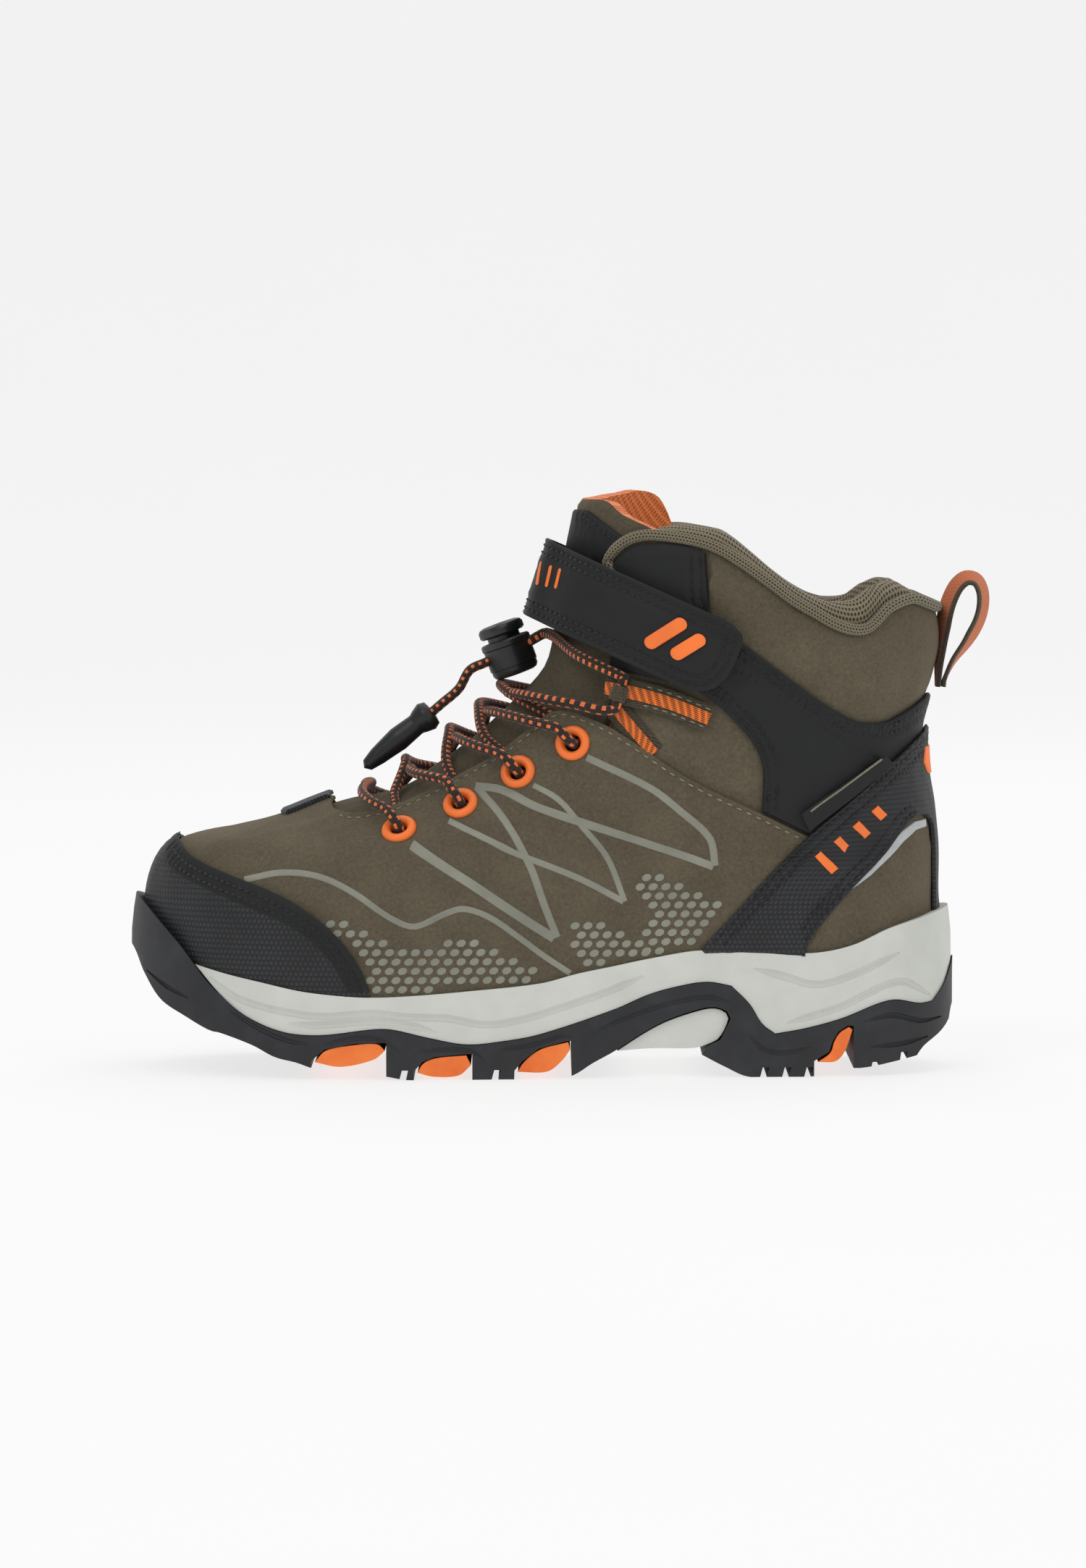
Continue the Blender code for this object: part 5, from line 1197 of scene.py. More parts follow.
def make_outsole():
    """Black rubber tread with its toe bumper, cross grooves, side ribs, and orange bars between the lugs."""
    top = [(x, z - 0.2) for x, z in MIDSOLE_BOTTOM[1:]]
    outline = closed_line(BUMPER_TOP + [(-94, 29.8), (-90.6, 25.7)] + top + TREAD_BOTTOM, corner=33)
    cuts = [("INTERSECT", side_prism(outline))]
    room = carved(sole_blank(-1.6), [("INTERSECT", side_prism([(-120, 30.6), (-90, 30.6), (-90, 60), (-120, 60)]))])
    shell = bmesh.new()
    shell.from_mesh(room)
    cuts.append(("DIFFERENCE", shell))
    for bar in TREAD_INSERTS:
        crest = max(range(len(bar)), key=lambda i: bar[i][1])
        left, right = bar[0][0] - 1.0, max(p[0] for p in bar) + 0.35
        crown = [(x - 0.35, z + 0.35) for x, z in bar[1:crest + 1]]
        cuts.append(("DIFFERENCE", side_prism([(left, -6.0), (left, bar[0][1] + 0.3)] + crown
                                              + [(right, crown[-1][1]), (right, -6.0)])))
    for x0, x1, y in ((-74, 16, -13), (-74, 16, 12), (58, 106, 0)):
        cuts.append(("DIFFERENCE", side_prism([(x0, -4), (x1, -4), (x1, 2.4), (x0, 2.4)], y - 2.5, y + 2.5)))
    for x in (-70, -64, -38, -24, -13, -2, 12, 60, 66, 72, 90, 98):
        lean = 1.5
        cuts.append(("DIFFERENCE", side_prism([(x - 0.9, -3), (x + 0.9, -3), (x + 0.9 + lean, 2.6 + max(0, x - 86) * 0.3),
                                               (x - 0.9 + lean, 2.6 + max(0, x - 86) * 0.3)])))
    ribs = [[(-108, 27.5), (-102, 23.5), (-96, 21)], [(-60, 9), (-52, 11.2), (-44, 11.2), (-38, 8)],
            [(-34, 7.6), (-26, 8.3), (-18, 7.6), (-14, 4)], [(-12, 8), (-2, 9.4), (6, 11.6), (10, 11)],
            [(14, 12.5), (26, 17.5), (36, 20.5), (46, 22), (53, 20)], [(56, 13), (60, 8), (66, 6.5), (76, 8.5)],
            [(88, 15), (96, 16.5), (104, 14.5), (110, 15)], [(90, 8), (98, 8.5), (106, 10)],
            [(-84, 18), (-76, 13.5), (-68, 10.5), (-62, 9.6)]]
    for line in ribs:
        for side in (LATERAL, MEDIAL):
            cuts.append(("DIFFERENCE", wall_tube(line, side, 0.75, 0.75)))
    finish_piece("tread_rubber", carved(sole_blank(0.5), cuts), FINISHES["tread"], "boot",
                 ["outsole"], smooth=35)
    bpy.data.meshes.remove(room)
    for k, bar in enumerate(TREAD_INSERTS):
        solid = carved(sole_blank(0.2), [("INTERSECT", side_prism(closed_line(bar, 1.0, 50)))])
        piece = finish_piece("tread_bar_%d" % (k + 1), solid, FINISHES["tread_orange"], "boot",
                             ["tread_insert_%d" % (k + 1)])
        soften(piece, 0.7, 3)


def make_inside():
    """The knit lining, the padded cuff roll and the cloth-covered footbed, and finishes for hidden parts."""
    low = feather(106, -104.5, -0.6)
    high = ([p for p in reversed(COLLAR_LINE) if p[0] > 36] + [(34, 144), (33, 120), (30, 96), (18, 84), (0, 74), (-20, 65),
            (-40, 58), (-58, 57), (-62, 70)])
    upper_panel("lining_knit", ring_of(low, evened_line(high)), -1.9, 1.2, "footbed", "knit_lining", ["lining"],
                pitch=3.0)
    line = smooth_line([p for p in COLLAR_LINE if p[0] > 26.5][:-1] + [(108.4, 126.2)], 60)

    def section(share):
        x, z = line[int(round(share * 60))]
        crest = height_along(ROLL_TOP, x)
        rise = max(1.2, crest - z)
        low = float(np.interp(x, [30, 46, 60, 84, 96, 110], [116, 112, 106, 97, 96, 97]))
        return x, [(z - 1.6, -1.4), (z + 0.45 * rise, -1.3), (z + 0.86 * rise, -2.7), (z + rise, -5.2),
                   (z + 0.85 * rise, -8.2), (z - 3.0, -10.2), (z - 10.0, -10.3), (low + 5, -9.6), (low, -7.2),
                   (low + 1, -4.6), (z - 12, -3.6), (z - 5, -3.0)]

    stations = []
    for k in range(121):
        share = 1 - abs(1 - k / 60)
        x, loop = section(share)
        side = LATERAL if k < 60 else MEDIAL
        curve = smooth_line(loop + [loop[0]], 30)
        ring = []
        for z, distance in curve:
            turn, rise = turn_and_rise(x, z, side)
            if k == 60:
                turn = 1.0
            ring.append(laid(turn, rise, np.array(distance)))
        stations.append(ring)
    stations = np.array(stations)

    def roll(u, v):
        return stations[np.round(u * 120).astype(int), np.round(v * 30).astype(int)]

    pad = formed("cuff_roll", 120, 30, roll, (260, 60), FINISHES["knit"], "boot", ["collar_pad"])

    def bed(u, v):
        x = -98.5 + 200 * u
        ring = sole_ring(0, -4.8, -99.5, 102.5, 240)
        left = np.interp(x, ring[:241, 0], ring[:241, 1])
        right = np.interp(x, ring[241:][::-1][:, 0], ring[241:][::-1][:, 1])
        angle = 2 * np.pi * v
        across = (1 - np.cos(angle)) / 2
        top = np.sin(angle)
        floor = hermite([p[0] for p in FEATHER], [p[1] for p in FEATHER], x)
        cup = 2.2 * np.abs(2 * across - 1) ** 3
        z = floor + 4.3 + np.where(top > 0, 1.9, -1.7) * np.abs(top) ** 0.35 + np.where(top > 0, cup, 0)
        return np.stack([x, left + (right - left) * across, z], axis=1)

    formed("footbed_cloth", 110, 48, bed, (200, 150), FINISHES["footbed"], "boot", ["sockliner"])
    for node, finish in (("insole_board", "board"), ("toe_puff", "board"), ("heel_counter", "board"),
                         ("shank", "steel"), ("lock_spring", "steel")):
        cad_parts[node].material_slots[0].material = FINISHES[finish]


def evened_line(points, step=1.8):
    out = []
    for a, b in zip(points, points[1:]):
        parts = max(1, math.ceil(math.dist(a, b) / step))
        out += [(a[0] + (b[0] - a[0]) * k / parts, a[1] + (b[1] - a[1]) * k / parts) for k in range(parts)]
    return out + [points[-1]]


def make_binding():
    """Rolled knit binding round the edge of the cuff."""
    line = [tuple(p) for p in beside(smooth_line(COLLAR_LINE[:-1] + [(108.3, 126.2)], 90), 0.9)]
    front = [(20.5, 136.0), (19.8, 138.0)]
    half = [side_point(x, z, LATERAL, 0.9) for x, z in front + line]
    half[-1].y = 0.0
    other = [side_point(x, z, MEDIAL, 0.9) for x, z in front + line][:-1]
    tube("cuff_binding", half + other[::-1], 1.55, FINISHES["binding"], "boot",
         ["collar_binding"], sides=12)


# ---------------------------------------------------------------- the tongue
def make_tongue():
    """Padded tongue, olive outside and orange mesh inside, with its coated patch and its stitches."""
    edge = [(-52, 64), (-40, 60.5), (-20, 67.5), (0, 77), (14, 86), (18, 98), (20, 112), (26, 122), (32, 130),
            (34, 142)]
    near = [(33.5, 146.8), (27, 150), (20, 153.2), (16, 156.4), (13, 157.2), (9.6, 157)]
    far = [(33.5, 150), (31.5, 154), (29, 157.4), (26, 158.8), (22, 159.3), (18, 158.6), (13, 158), (9.6, 157.4)]
    lateral = pattern(list(flowing([(-64, 67)] + edge)) + list(flowing(near)), LATERAL)
    medial = pattern(list(flowing([(-64, 67)] + edge)) + list(flowing(far)), MEDIAL)
    lateral[-1] = (0.0, (lateral[-1][1] + medial[-1][1]) / 2)
    outline = lateral + medial[:-1][::-1]

    def swell(flat):
        out = np.empty(len(flat))
        for k, (a, b) in enumerate(flat):
            out[k] = 0.9 * math.sin(b / 5.2) * math.exp(-(a / 40) ** 2) if b < 88 else 0.0
            if b > 118:
                out[k] += 1.0 * min(1.0, (b - 118) / 10)
            out[k] += 2.6 * min(1.0, max(0.0, (80 - b) / 12))
        return out + ripple(flat)

    body = cut_panel("tongue_pad", outline, on_last, -4.0, 5.2, [FINISHES["tongue_softshell"], FINISHES["orange_mesh"]],
                     "tongue", "olive_softshell", ["tongue"], pitch=2.0, edge=1.3, lift=swell, cloth=cloth_place)
    patch = [(7.5, 154.2), (11, 154), (17, 149.8), (23, 145.5), (21.6, 139), (8, 139), (6.2, 139)]
    rows = pattern(flowing([(8.5, 152.2), (10.6, 152), (16, 148), (20.6, 144.6)]), LATERAL)
    cut_panel("tongue_patch_skin", from_toe(pattern(evened_line(patch), LATERAL)), on_last, -1.9, 1.2,
              FINISHES["microfibre"], "tongue", "black_overlay", ["tongue_patch"], pitch=1.6, edge=0.5,
              cloth=cloth_place, sewn=[rows, [(-a, b) for a, b in rows]])
    stitches = []
    for row in (rows, [(-a, b) for a, b in rows]):
        a, b = np.array(row).T
        points = on_last(a, b, np.full(len(a), -1.95))
        stitches.append((points, on_last(a, b, np.full(len(a), -0.95)) - points))
    thread_rows("tongue_patch_thread", stitches, FINISHES["black_thread"], "tongue", 2.3, 0.32)


def make_throat_tab():
    region = [(i, j) for i in range(200, 441, 2) for j in range(0, 160)]
    tree = kdtree.KDTree(len(region))
    for k, (i, j) in enumerate(region):
        p = LAST[i, j]
        tree.insert((p[0], p[1], 0 if p[2] > 60 else 500), k)
    tree.balance()
    corners = []
    for x, y in ((-69, -6.3), (-57, -6.8), (-56.4, 0.5), (-57, 7.8), (-69, 7.3)):
        i, j = region[tree.find((x, y, 0))[1]]
        corners.append((TURNS[i] * PATTERN[0], RISES[j] * PATTERN[1]))
    cut_panel("throat_tape", corners, on_last, 2.9, 1.5, FINISHES["throat_tape"], "boot", "black_overlay",
              ["throat_tab"], pitch=1.2, edge=0.7, lift=ripple, cloth=cloth_place)


# ---------------------------------------------------------------- the lacing
def make_eyelets():
    """Domed orange eyelets, four on each side."""
    bm = bmesh.new()
    r = 2.35
    profile = [(r, 0.2), (r + 0.5, 0.2), (r + 0.5, 1.5), (4.75, 1.5), (4.85, 1.9), (4.7, 2.45), (4.3, 2.85), (3.7, 3.05),
               (3.1, 2.95), (2.6, 2.6), (r, 2.0)]
    for side in (LATERAL, MEDIAL):
        for x, z in EYELETS:
            spun(bm, profile, side_point(x, z, side), side_normal(x, z, side), 28)
    nodes = ["eyelet_%s_%d" % (name, k) for name in ("lateral", "medial") for k in (1, 2, 3, 4)]
    finish_piece("eyelet_rings", mesh_of(lined(bm), "eyelet_rings"), FINISHES["orange_plastic"], "boot",
                 nodes, smooth=50)


def front_rise(x):
    rise = np.linspace(0, 1, 501)
    return float(rise[np.argmax(along(FRONT, rise)[:, 0] >= x)])


def lace_half(side, over):
    """Half of the lace, as (turn, rise, distance) stations from the lowest bar up to a webbing guide."""
    here = side
    stations = [(0.0, front_rise(LACE_CROSSINGS[0]), 0.6)]
    for k, (x, z) in enumerate(EYELETS):
        for dx, dz, distance in ((-3.8, 3.5, 5.6), (-0.6, 0.6, 4.7), (0, 0, 1.6), (0, 0.4, -1.5), (0.3, 3.0, -1.85)):
            stations.append((*turn_and_rise(x + dx, z + dz, here), distance))
        stations.append((*turn_and_rise(*EDGE_EXITS[k], here), -1.6))
        upper = over == (k % 2 == 0)
        stations.append((0.0, front_rise(LACE_CROSSINGS[k + 1]), 1.5 if upper else -1.5))
        here = -here
    x, z = LOOP_CENTRE
    stations.append((*turn_and_rise(x - 13, z - 3.0, here), 3.4))
    for step in (-4.5, 0.0, 4.5):
        stations.append((*turn_and_rise(x + LOOP_AXIS.x * step, z + LOOP_AXIS.z * step, here), LOOP_LIFT))
    return stations


def on_surface(stations, steps):
    scale = 200.0
    run = smooth_line([(turn * scale, rise * scale, distance) for turn, rise, distance in stations], steps)
    return laid(run[:, 0] / scale, run[:, 1] / scale, run[:, 2])


def lock_entry(side):
    """One strand from its webbing guide into the back of the cord lock."""
    strand = Vector((0, TAIL_SPACING / 2 * side, 0))
    top = side_point(LOOP_CENTRE[0] + LOOP_AXIS.x * 4.5, LOOP_CENTRE[1] + LOOP_AXIS.z * 4.5, side, LOOP_LIFT)
    return [tuple(top), tuple(side_point(13, 113.2, side, 4.4)), tuple(LOCK_CENTRE - LACE_OUT * 11.5 + strand * 1.9),
            tuple(LOCK_CENTRE - LACE_OUT * 6.0 + strand)]


def tail_route(side):
    start = LOCK_CENTRE - LACE_OUT * 6.6
    y = side * TAIL_SPACING / 2
    return [(start.x, y, start.z), tuple(LOCK_CENTRE + Vector((0, y, 0))),
            tuple(LOCK_CENTRE + LACE_OUT * 7 + Vector((0, y, 0))),
            tuple(LOCK_CENTRE + LACE_OUT * 12 + Vector((0, y, 0))),
            (-22.4, y, 104.4), (-27.2, y, 100.2), (-31.8, y, 96.2)]


def make_lace():
    """The braided lace through eyelets and guides, its two free tails and their moulded end."""
    low, high = lace_half(LATERAL, True), lace_half(MEDIAL, False)
    held = on_surface(list(reversed(low)) + high[1:], 620)
    ends = [smooth_line(lock_entry(side), 40) for side in (LATERAL, MEDIAL)]
    route = np.concatenate([ends[0][::-1][:-1], held, ends[1][1:]])
    tube("lace_braid", route, LACE_D / 2 + 0.1, FINISHES["cord"], "boot", ["lace"], sides=14)
    path = smooth_line([(-29.4, 0, 98.2), (-33.0, 0, 95.4), (-39.0, 0, 90.6), (-45.0, 0, 85.6), (-48.6, 0, 82.4)], 40)

    def swell(u):
        return np.interp(u, [0, 0.01, 0.1, 0.2, 0.24, 0.5, 0.8, 0.95, 1.0],
                         [0.05, 3.4, 4.3, 3.5, 3.0, 3.4, 2.6, 1.8, 0.05])

    clip = tube("lace_end_clip", path, 1.0, FINISHES["plastic"], "boot", ["lace_end"], sides=24,
                swell=swell)
    for side, name in SIDES:
        route = smooth_line(tail_route(side), 60)
        tail = tube("lace_tail_braid_" + name, route, LACE_D / 2, FINISHES["cord"], "boot",
                    ["lace_tail_" + name], sides=14)


def make_guides():
    """Webbing guides for the top of the lace: orange mesh webbing on olive tape, with khaki stitches."""
    upper, lower = [(18.5, 105), (25, 104.2), (35, 101.8), (46, 97.4)], [(20, 101), (25, 95), (31, 88)]
    for side, name in SIDES:
        strip_on("guide_tape_" + name, upper, 7.2, side, 2.5, 0.8, "tape", "orange_mesh", ["lace_loop_" + name])
        strip_on("guide_webbing_" + name, upper, 3.4, side, 3.1, 0.7, "guide_tape", "orange_mesh")
        strip_on("lower_guide_tape_" + name, lower, 6.4, side, 0.75, 0.7, "tape", "orange_mesh")
        strip_on("lower_guide_webbing_" + name, lower, 3.0, side, 1.3, 0.6, "guide_tape", "orange_mesh")
    rows = both([beside(flowing(upper), 2.5)[6:], beside(flowing(upper), -2.5)[6:]], 2.45)
    thread_rows("guide_thread", rows, FINISHES["light_thread"], "boot", 2.6, 0.26)
    bm = bmesh.new()
    for side in (LATERAL, MEDIAL):
        spun(bm, [(1.5, -1.9), (2.0, -2.1), (2.3, -1.8), (2.35, 1.8), (2.0, 2.1), (1.5, 1.9)],
             side_point(*LOOP_CENTRE, side, LOOP_LIFT), LOOP_AXIS, 24)
    finish_piece("guide_turns", mesh_of(lined(bm), "guide_turns"), FINISHES["tape"], "boot")


def make_cord_lock():
    """Oval barrel and sprung button of the cord lock, moulded in acetal."""
    def oval(name, profile, body, node):
        bm = bmesh.new()
        spun(bm, profile, (0, 0, 0), (0, 0, 1), 48)
        bmesh.ops.remove_doubles(bm, verts=bm.verts, dist=0.001)
        for v in bm.verts:
            angle = math.atan2(v.co.y, v.co.x)
            square = 1 + 0.06 * math.cos(4 * angle)
            v.co.x *= square
            v.co.y *= 1.27 * square
        turned = Vector((0, 0, 1)).rotation_difference(LOCK_AXIS).to_matrix().to_4x4()
        bmesh.ops.transform(bm, matrix=Matrix.Translation(LOCK_CENTRE) @ turned, verts=bm.verts)
        return finish_piece(name, mesh_of(lined(bm), name), FINISHES["plastic"], body,
                            [node], smooth=35)

    oval("lock_barrel_shell", [(0, -6.6), (4.6, -6.6), (5.6, -6.2), (6.1, -5.3), (6.1, -4.2), (6.35, -4.0), (6.35, 1.6),
                               (6.6, 1.9), (6.6, 3.1), (6.2, 3.6), (5.2, 3.7), (4.9, 3.2), (0, 3.2)], "cord_lock",
         "lock_barrel")
    oval("lock_button_cap", [(0, 2.6), (4.3, 2.6), (4.3, 4.9), (5.5, 5.0), (6.0, 5.5), (6.0, 7.0), (5.5, 7.8), (4.4, 8.2),
                             (3.8, 7.9), (0, 7.8)], "cord_lock_button", "lock_button")


# ---------------------------------------------------------------- the closure strap
def strap_centre_z(x):
    return STRAP_FRONT[1] + STRAP_SLOPE * (x - STRAP_FRONT[0])


def strap_y(x, side):
    """How far out the strap lies at this length, clear of everything beneath its whole width."""
    widest = 0.0
    for k in (-1.0, -0.5, 0.0, 0.5, 1.0):
        p = Vector((x, 0, strap_centre_z(x))) + STRAP_UP * (k * STRAP_W / 2)
        turn, rise = turn_and_rise(p.x, p.z, side)
        if abs(turn) > 0.02:
            widest = max(widest, abs(float(laid(turn, rise, np.array(0.0))[1])))
    return side * (widest + 4.9)


def strap_route():
    """The strap's middle line in plan, from its lateral end round the front to its medial end."""
    halves = []
    for side in (LATERAL, MEDIAL):
        halves.append([(STRAP_FRONT[0], 0.0), (STRAP_FRONT[0] + 0.8, side * 9.5)]
                      + [(x, strap_y(x, side)) for x in (4, 10, 17, 25, 33, 41, 53)])
    smooth = [smooth_line(h, 200) for h in halves]
    return np.concatenate([smooth[0][::-1], smooth[1][1:]])


ROUTE = strap_route()
ROUTE_RUN = np.concatenate([[0.0], np.cumsum(np.linalg.norm(np.diff(ROUTE, axis=0), axis=1))])
ROUTE_DIRECTION = np.gradient(ROUTE, axis=0)
ROUTE_OUT = np.stack([-ROUTE_DIRECTION[:, 1], ROUTE_DIRECTION[:, 0]], axis=1)
ROUTE_OUT /= np.linalg.norm(ROUTE_OUT, axis=1, keepdims=True)
if ROUTE_OUT[200][0] > 0:
    ROUTE_OUT = -ROUTE_OUT


def on_strap(a, b, distance):
    """A point of the flat strap, a along it and b up from its middle, bent round the shaft."""
    x, y, ox, oy = (np.interp(a, ROUTE_RUN, column) for column in (ROUTE[:, 0], ROUTE[:, 1], ROUTE_OUT[:, 0],
                                                                  ROUTE_OUT[:, 1]))
    x, y = x + ox * distance, y + oy * distance
    z = strap_centre_z(x)
    return np.stack([x + STRAP_UP.x * b, y, z + STRAP_UP.z * b], axis=1)


def strap_at(x, side):
    """How far along the flat strap the length x lies."""
    half = slice(0, 201) if side == LATERAL else slice(200, 401)
    xs, run = ROUTE[half, 0], ROUTE_RUN[half]
    return float(np.interp(x, xs[::-1], run[::-1])) if side == LATERAL else float(np.interp(x, xs, run))


def strap_flat(x, z):
    """The flat strap's (along, up) under a side-view point of its lateral half."""
    up = (z - strap_centre_z(x)) / (STRAP_UP.z - STRAP_SLOPE * STRAP_UP.x)
    return strap_at(x - STRAP_UP.x * up, LATERAL), up


def strap_on_last(a):
    """The place of the strap's middle line, in metres in the row frame."""
    return tuple((Vector(on_strap(np.array([a]), np.array([0.0]), np.array([0.0]))[0]) + SHIFT) * 0.001)


def strap_panel(name, outline, top, thickness, finish, body, slot, stands_for=(), **more):
    return cut_panel(name, outline, on_strap, top, thickness, FINISHES[finish], body, slot, stands_for,
                     **{"pitch": 1.7, "edge": 0.45, **more})


def make_strap():
    """Hook-and-loop closure strap in its two links, with stitched edges, orange bars and its patches."""
    w = STRAP_W / 2 + 1.1
    corner, anchor = strap_at(STRAP_CORNER_X, LATERAL), strap_at(STRAP_ANCHOR_X, MEDIAL)
    end = [strap_flat(*p) for p in ((52.6, 122.8), (54.8, 120.4), (54.9, 118), (52.4, 112), (50.6, 109),
                                    (48, 106.6), (45, 105.2), (42.4, 105.2))]
    end = [(a, min(max(b, -w), w)) for a, b in end]
    strap = [(anchor - 0.15, w), (end[0][0] + 3.0, w)] + end + [(end[-1][0] + 2.5, -w), (anchor - 0.15, -w)]
    rows = []
    for distance in (1.9, 4.0):
        loop = inset_loop(evened(clean_loop(strap), 1.2), distance)
        rows.append(rotate_gap([tuple(p) for p in loop if p[0] < anchor - distance - 0.5]))
    fold = (strap_on_last(corner + 4.0), strap_on_last(corner - 4.0))
    strap_panel("strap_skin", strap, STRAP_T + 0.25, 1.4, "microfibre", ("strap_front", "strap_end") + fold,
                "black_overlay", ["strap_tab", "strap_band"], sewn=rows)
    last = ROUTE_RUN[-1] - 0.5
    held = [(anchor + 0.1, -w), (last, -w), (last, w), (anchor + 0.1, w)]
    strap_panel("strap_anchor_skin", held, STRAP_T + 0.25, 1.4, "microfibre", "boot", "black_overlay", ["strap_anchor"])
    sewn = []
    for row in rows:
        a, b = np.array(row).T
        points = on_strap(a, b, np.full(len(a), STRAP_T + 0.12))
        sewn.append((points, on_strap(a, b, np.full(len(a), STRAP_T + 1.12)) - points))
    thread_rows("strap_thread", sewn, FINISHES["black_thread"], ("strap_front", "strap_end") + fold,
                2.3, 0.34)
    for k, (p, q) in enumerate((((30.6, 118.0), (38.4, 123.2)), ((37.4, 115.2), (43.2, 119.0)))):
        a, b = Vector(strap_flat(*p)), Vector(strap_flat(*q))
        strap_panel("strap_bar_rubber_%d" % (k + 1), capsule(a, b, 1.65), STRAP_T + 1.4, 1.2, "orange_print", "strap_end",
                    "orange_plastic", ["strap_bar_%d" % (k + 1)], pitch=0.9, edge=0.55)
    for k, x in enumerate((0.6, 3.0, 5.6)):
        a, b = Vector(strap_flat(x, 133.2 - 0.4 * k)), Vector(strap_flat(x + 1.1, 138.4 - 0.8 * k))
        strap_panel("strap_dash_%d" % (k + 1), capsule(a, b, 0.62), STRAP_T + 0.5, 0.4, "orange_print", "strap_front",
                    "orange_plastic", pitch=0.8, edge=0.2)
    hook = [(strap_at(45, LATERAL), -w + 3.2), (strap_at(18, LATERAL), -w + 3.2), (strap_at(18, LATERAL), w - 3.2),
            (strap_at(45, LATERAL), w - 3.2)]
    strap_panel("hook_tape", hook, -0.35, 0.85, "hook", "strap_end", "hook_tape", ["hook_patch"], pitch=2.5)
    strap_panel("loop_tape_patch", hook, -1.6, 0.8, "hook", "boot", "hook_tape", ["loop_patch"], pitch=2.5)


def rotate_gap(row):
    """Starts an open row after its widest gap."""
    gaps = [math.dist(row[k - 1], row[k]) for k in range(len(row))]
    k = gaps.index(max(gaps))
    return row[k:] + row[:k]


def capsule(a, b, radius):
    """A round-ended bar in the flat."""
    heading = math.atan2(b.y - a.y, b.x - a.x)
    return [(p.x + radius * math.cos(heading + turn + math.pi * k / 9), p.y + radius * math.sin(heading + turn + math.pi * k / 9))
            for p, turn in ((b, -math.pi / 2), (a, math.pi / 2)) for k in range(10)]


def make_pull_loop():
    """Woven pull loop with its orange band, folded double where it is sewn in."""
    line = smooth_line(PULL_LOOP_LINE, 90)
    run = np.gradient(line, axis=0)
    run /= np.linalg.norm(run, axis=1, keepdims=True)

    def place(u, v):
        k = np.round(u * 90).astype(int)
        angle = 2 * np.pi * v
        c, s = np.cos(angle), np.sin(angle)
        across = 5.0 * np.sign(c) * np.abs(c) ** 0.35
        lift = 0.65 * np.sign(s) * np.abs(s) ** 0.7
        twist = 0.34 * np.clip(np.minimum(u, 1 - u) / 0.25, 0, 1)
        y = across * np.cos(twist) - lift * np.sin(twist)
        lift = across * np.sin(twist) + lift * np.cos(twist)
        return np.stack([line[k, 0] - run[k, 1] * lift, y, line[k, 1] + run[k, 0] * lift], axis=1)

    formed("pull_tape", 90, 40, place, (run_length(line), 22), FINISHES["loop_tape"], "pull_loop",
           ["pull_loop"])


# ---------------------------------------------------------------- the stage
CAMERA_LENS, CAMERA_TILT = 166.2, 3.0      # millimetres, degrees down


def make_stage(light, floor_tone, world_tone):
    """Pale floor that curves up behind, soft lights, and the camera."""
    bm = bmesh.new()
    bmesh.ops.create_grid(bm, x_segments=2, y_segments=40, size=0.5)
    for v in bm.verts:
        u, w = v.co.x * 12000, (v.co.y + 0.5)
        if w < 0.5:
            v.co = (u, -4000 + w * 2 * 6000, 0)
        elif w < 0.8:
            angle = (w - 0.5) / 0.3 * math.pi / 2
            v.co = (u, 2000 + 1500 * math.sin(angle), 1500 * (1 - math.cos(angle)))
        else:
            v.co = (u, 3500, 1500 + (w - 0.8) / 0.2 * 5000)
    mesh = mesh_of(bm, "studio_floor", False)
    mesh.transform(Matrix.Translation((0, 0, -0.05)))
    floor = finish_piece("studio_floor", mesh, FINISHES["floor"], None)
    FINISHES["floor"].node_tree.nodes["Principled BSDF"].inputs["Emission Color"].default_value = (1, 1, 1, 1)
    FINISHES["floor"].node_tree.nodes["Principled BSDF"].inputs["Emission Strength"].default_value = floor_tone
    world = bpy.data.worlds.new("studio")
    world.use_nodes = True
    world.node_tree.nodes["Background"].inputs["Color"].default_value = (1, 1, 1, 1)
    world.node_tree.nodes["Background"].inputs["Strength"].default_value = world_tone
    bpy.context.scene.world = world
    for name, place, size, power in (("key", (-0.9, -1.5, 1.7), 1.4, 34), ("fill", (1.3, -1.3, 1.0), 1.6, 16),
                                     ("top", (0.1, 0.2, 2.0), 1.8, 24), ("back", (0.9, 1.5, 1.2), 1.2, 10)):
        lamp = bpy.data.lights.new(name, "AREA")
        lamp.size, lamp.energy = size, power * light
        obj = bpy.data.objects.new(name, lamp)
        obj.location = place
        obj.rotation_euler = (Vector((0, 0, 0.07)) - Vector(place)).to_track_quat("-Z", "Y").to_euler()
        bpy.context.scene.collection.objects.link(obj)
    data = bpy.data.cameras.new("camera")
    data.lens, data.sensor_width = CAMERA_LENS, 36.0
    camera = bpy.data.objects.new("camera", data)
    tilt = math.radians(CAMERA_TILT)
    target = Vector((0.8 + SHIFT.x, 0, 78.0)) * 0.001
    camera.location = target + Vector((0, -math.cos(tilt), math.sin(tilt))) * 2.0
    camera.rotation_euler = (target - camera.location).to_track_quat("-Z", "Y").to_euler()
    bpy.context.scene.collection.objects.link(camera)
    bpy.context.scene.camera = camera
    bpy.context.scene.view_settings.view_transform = "Standard"


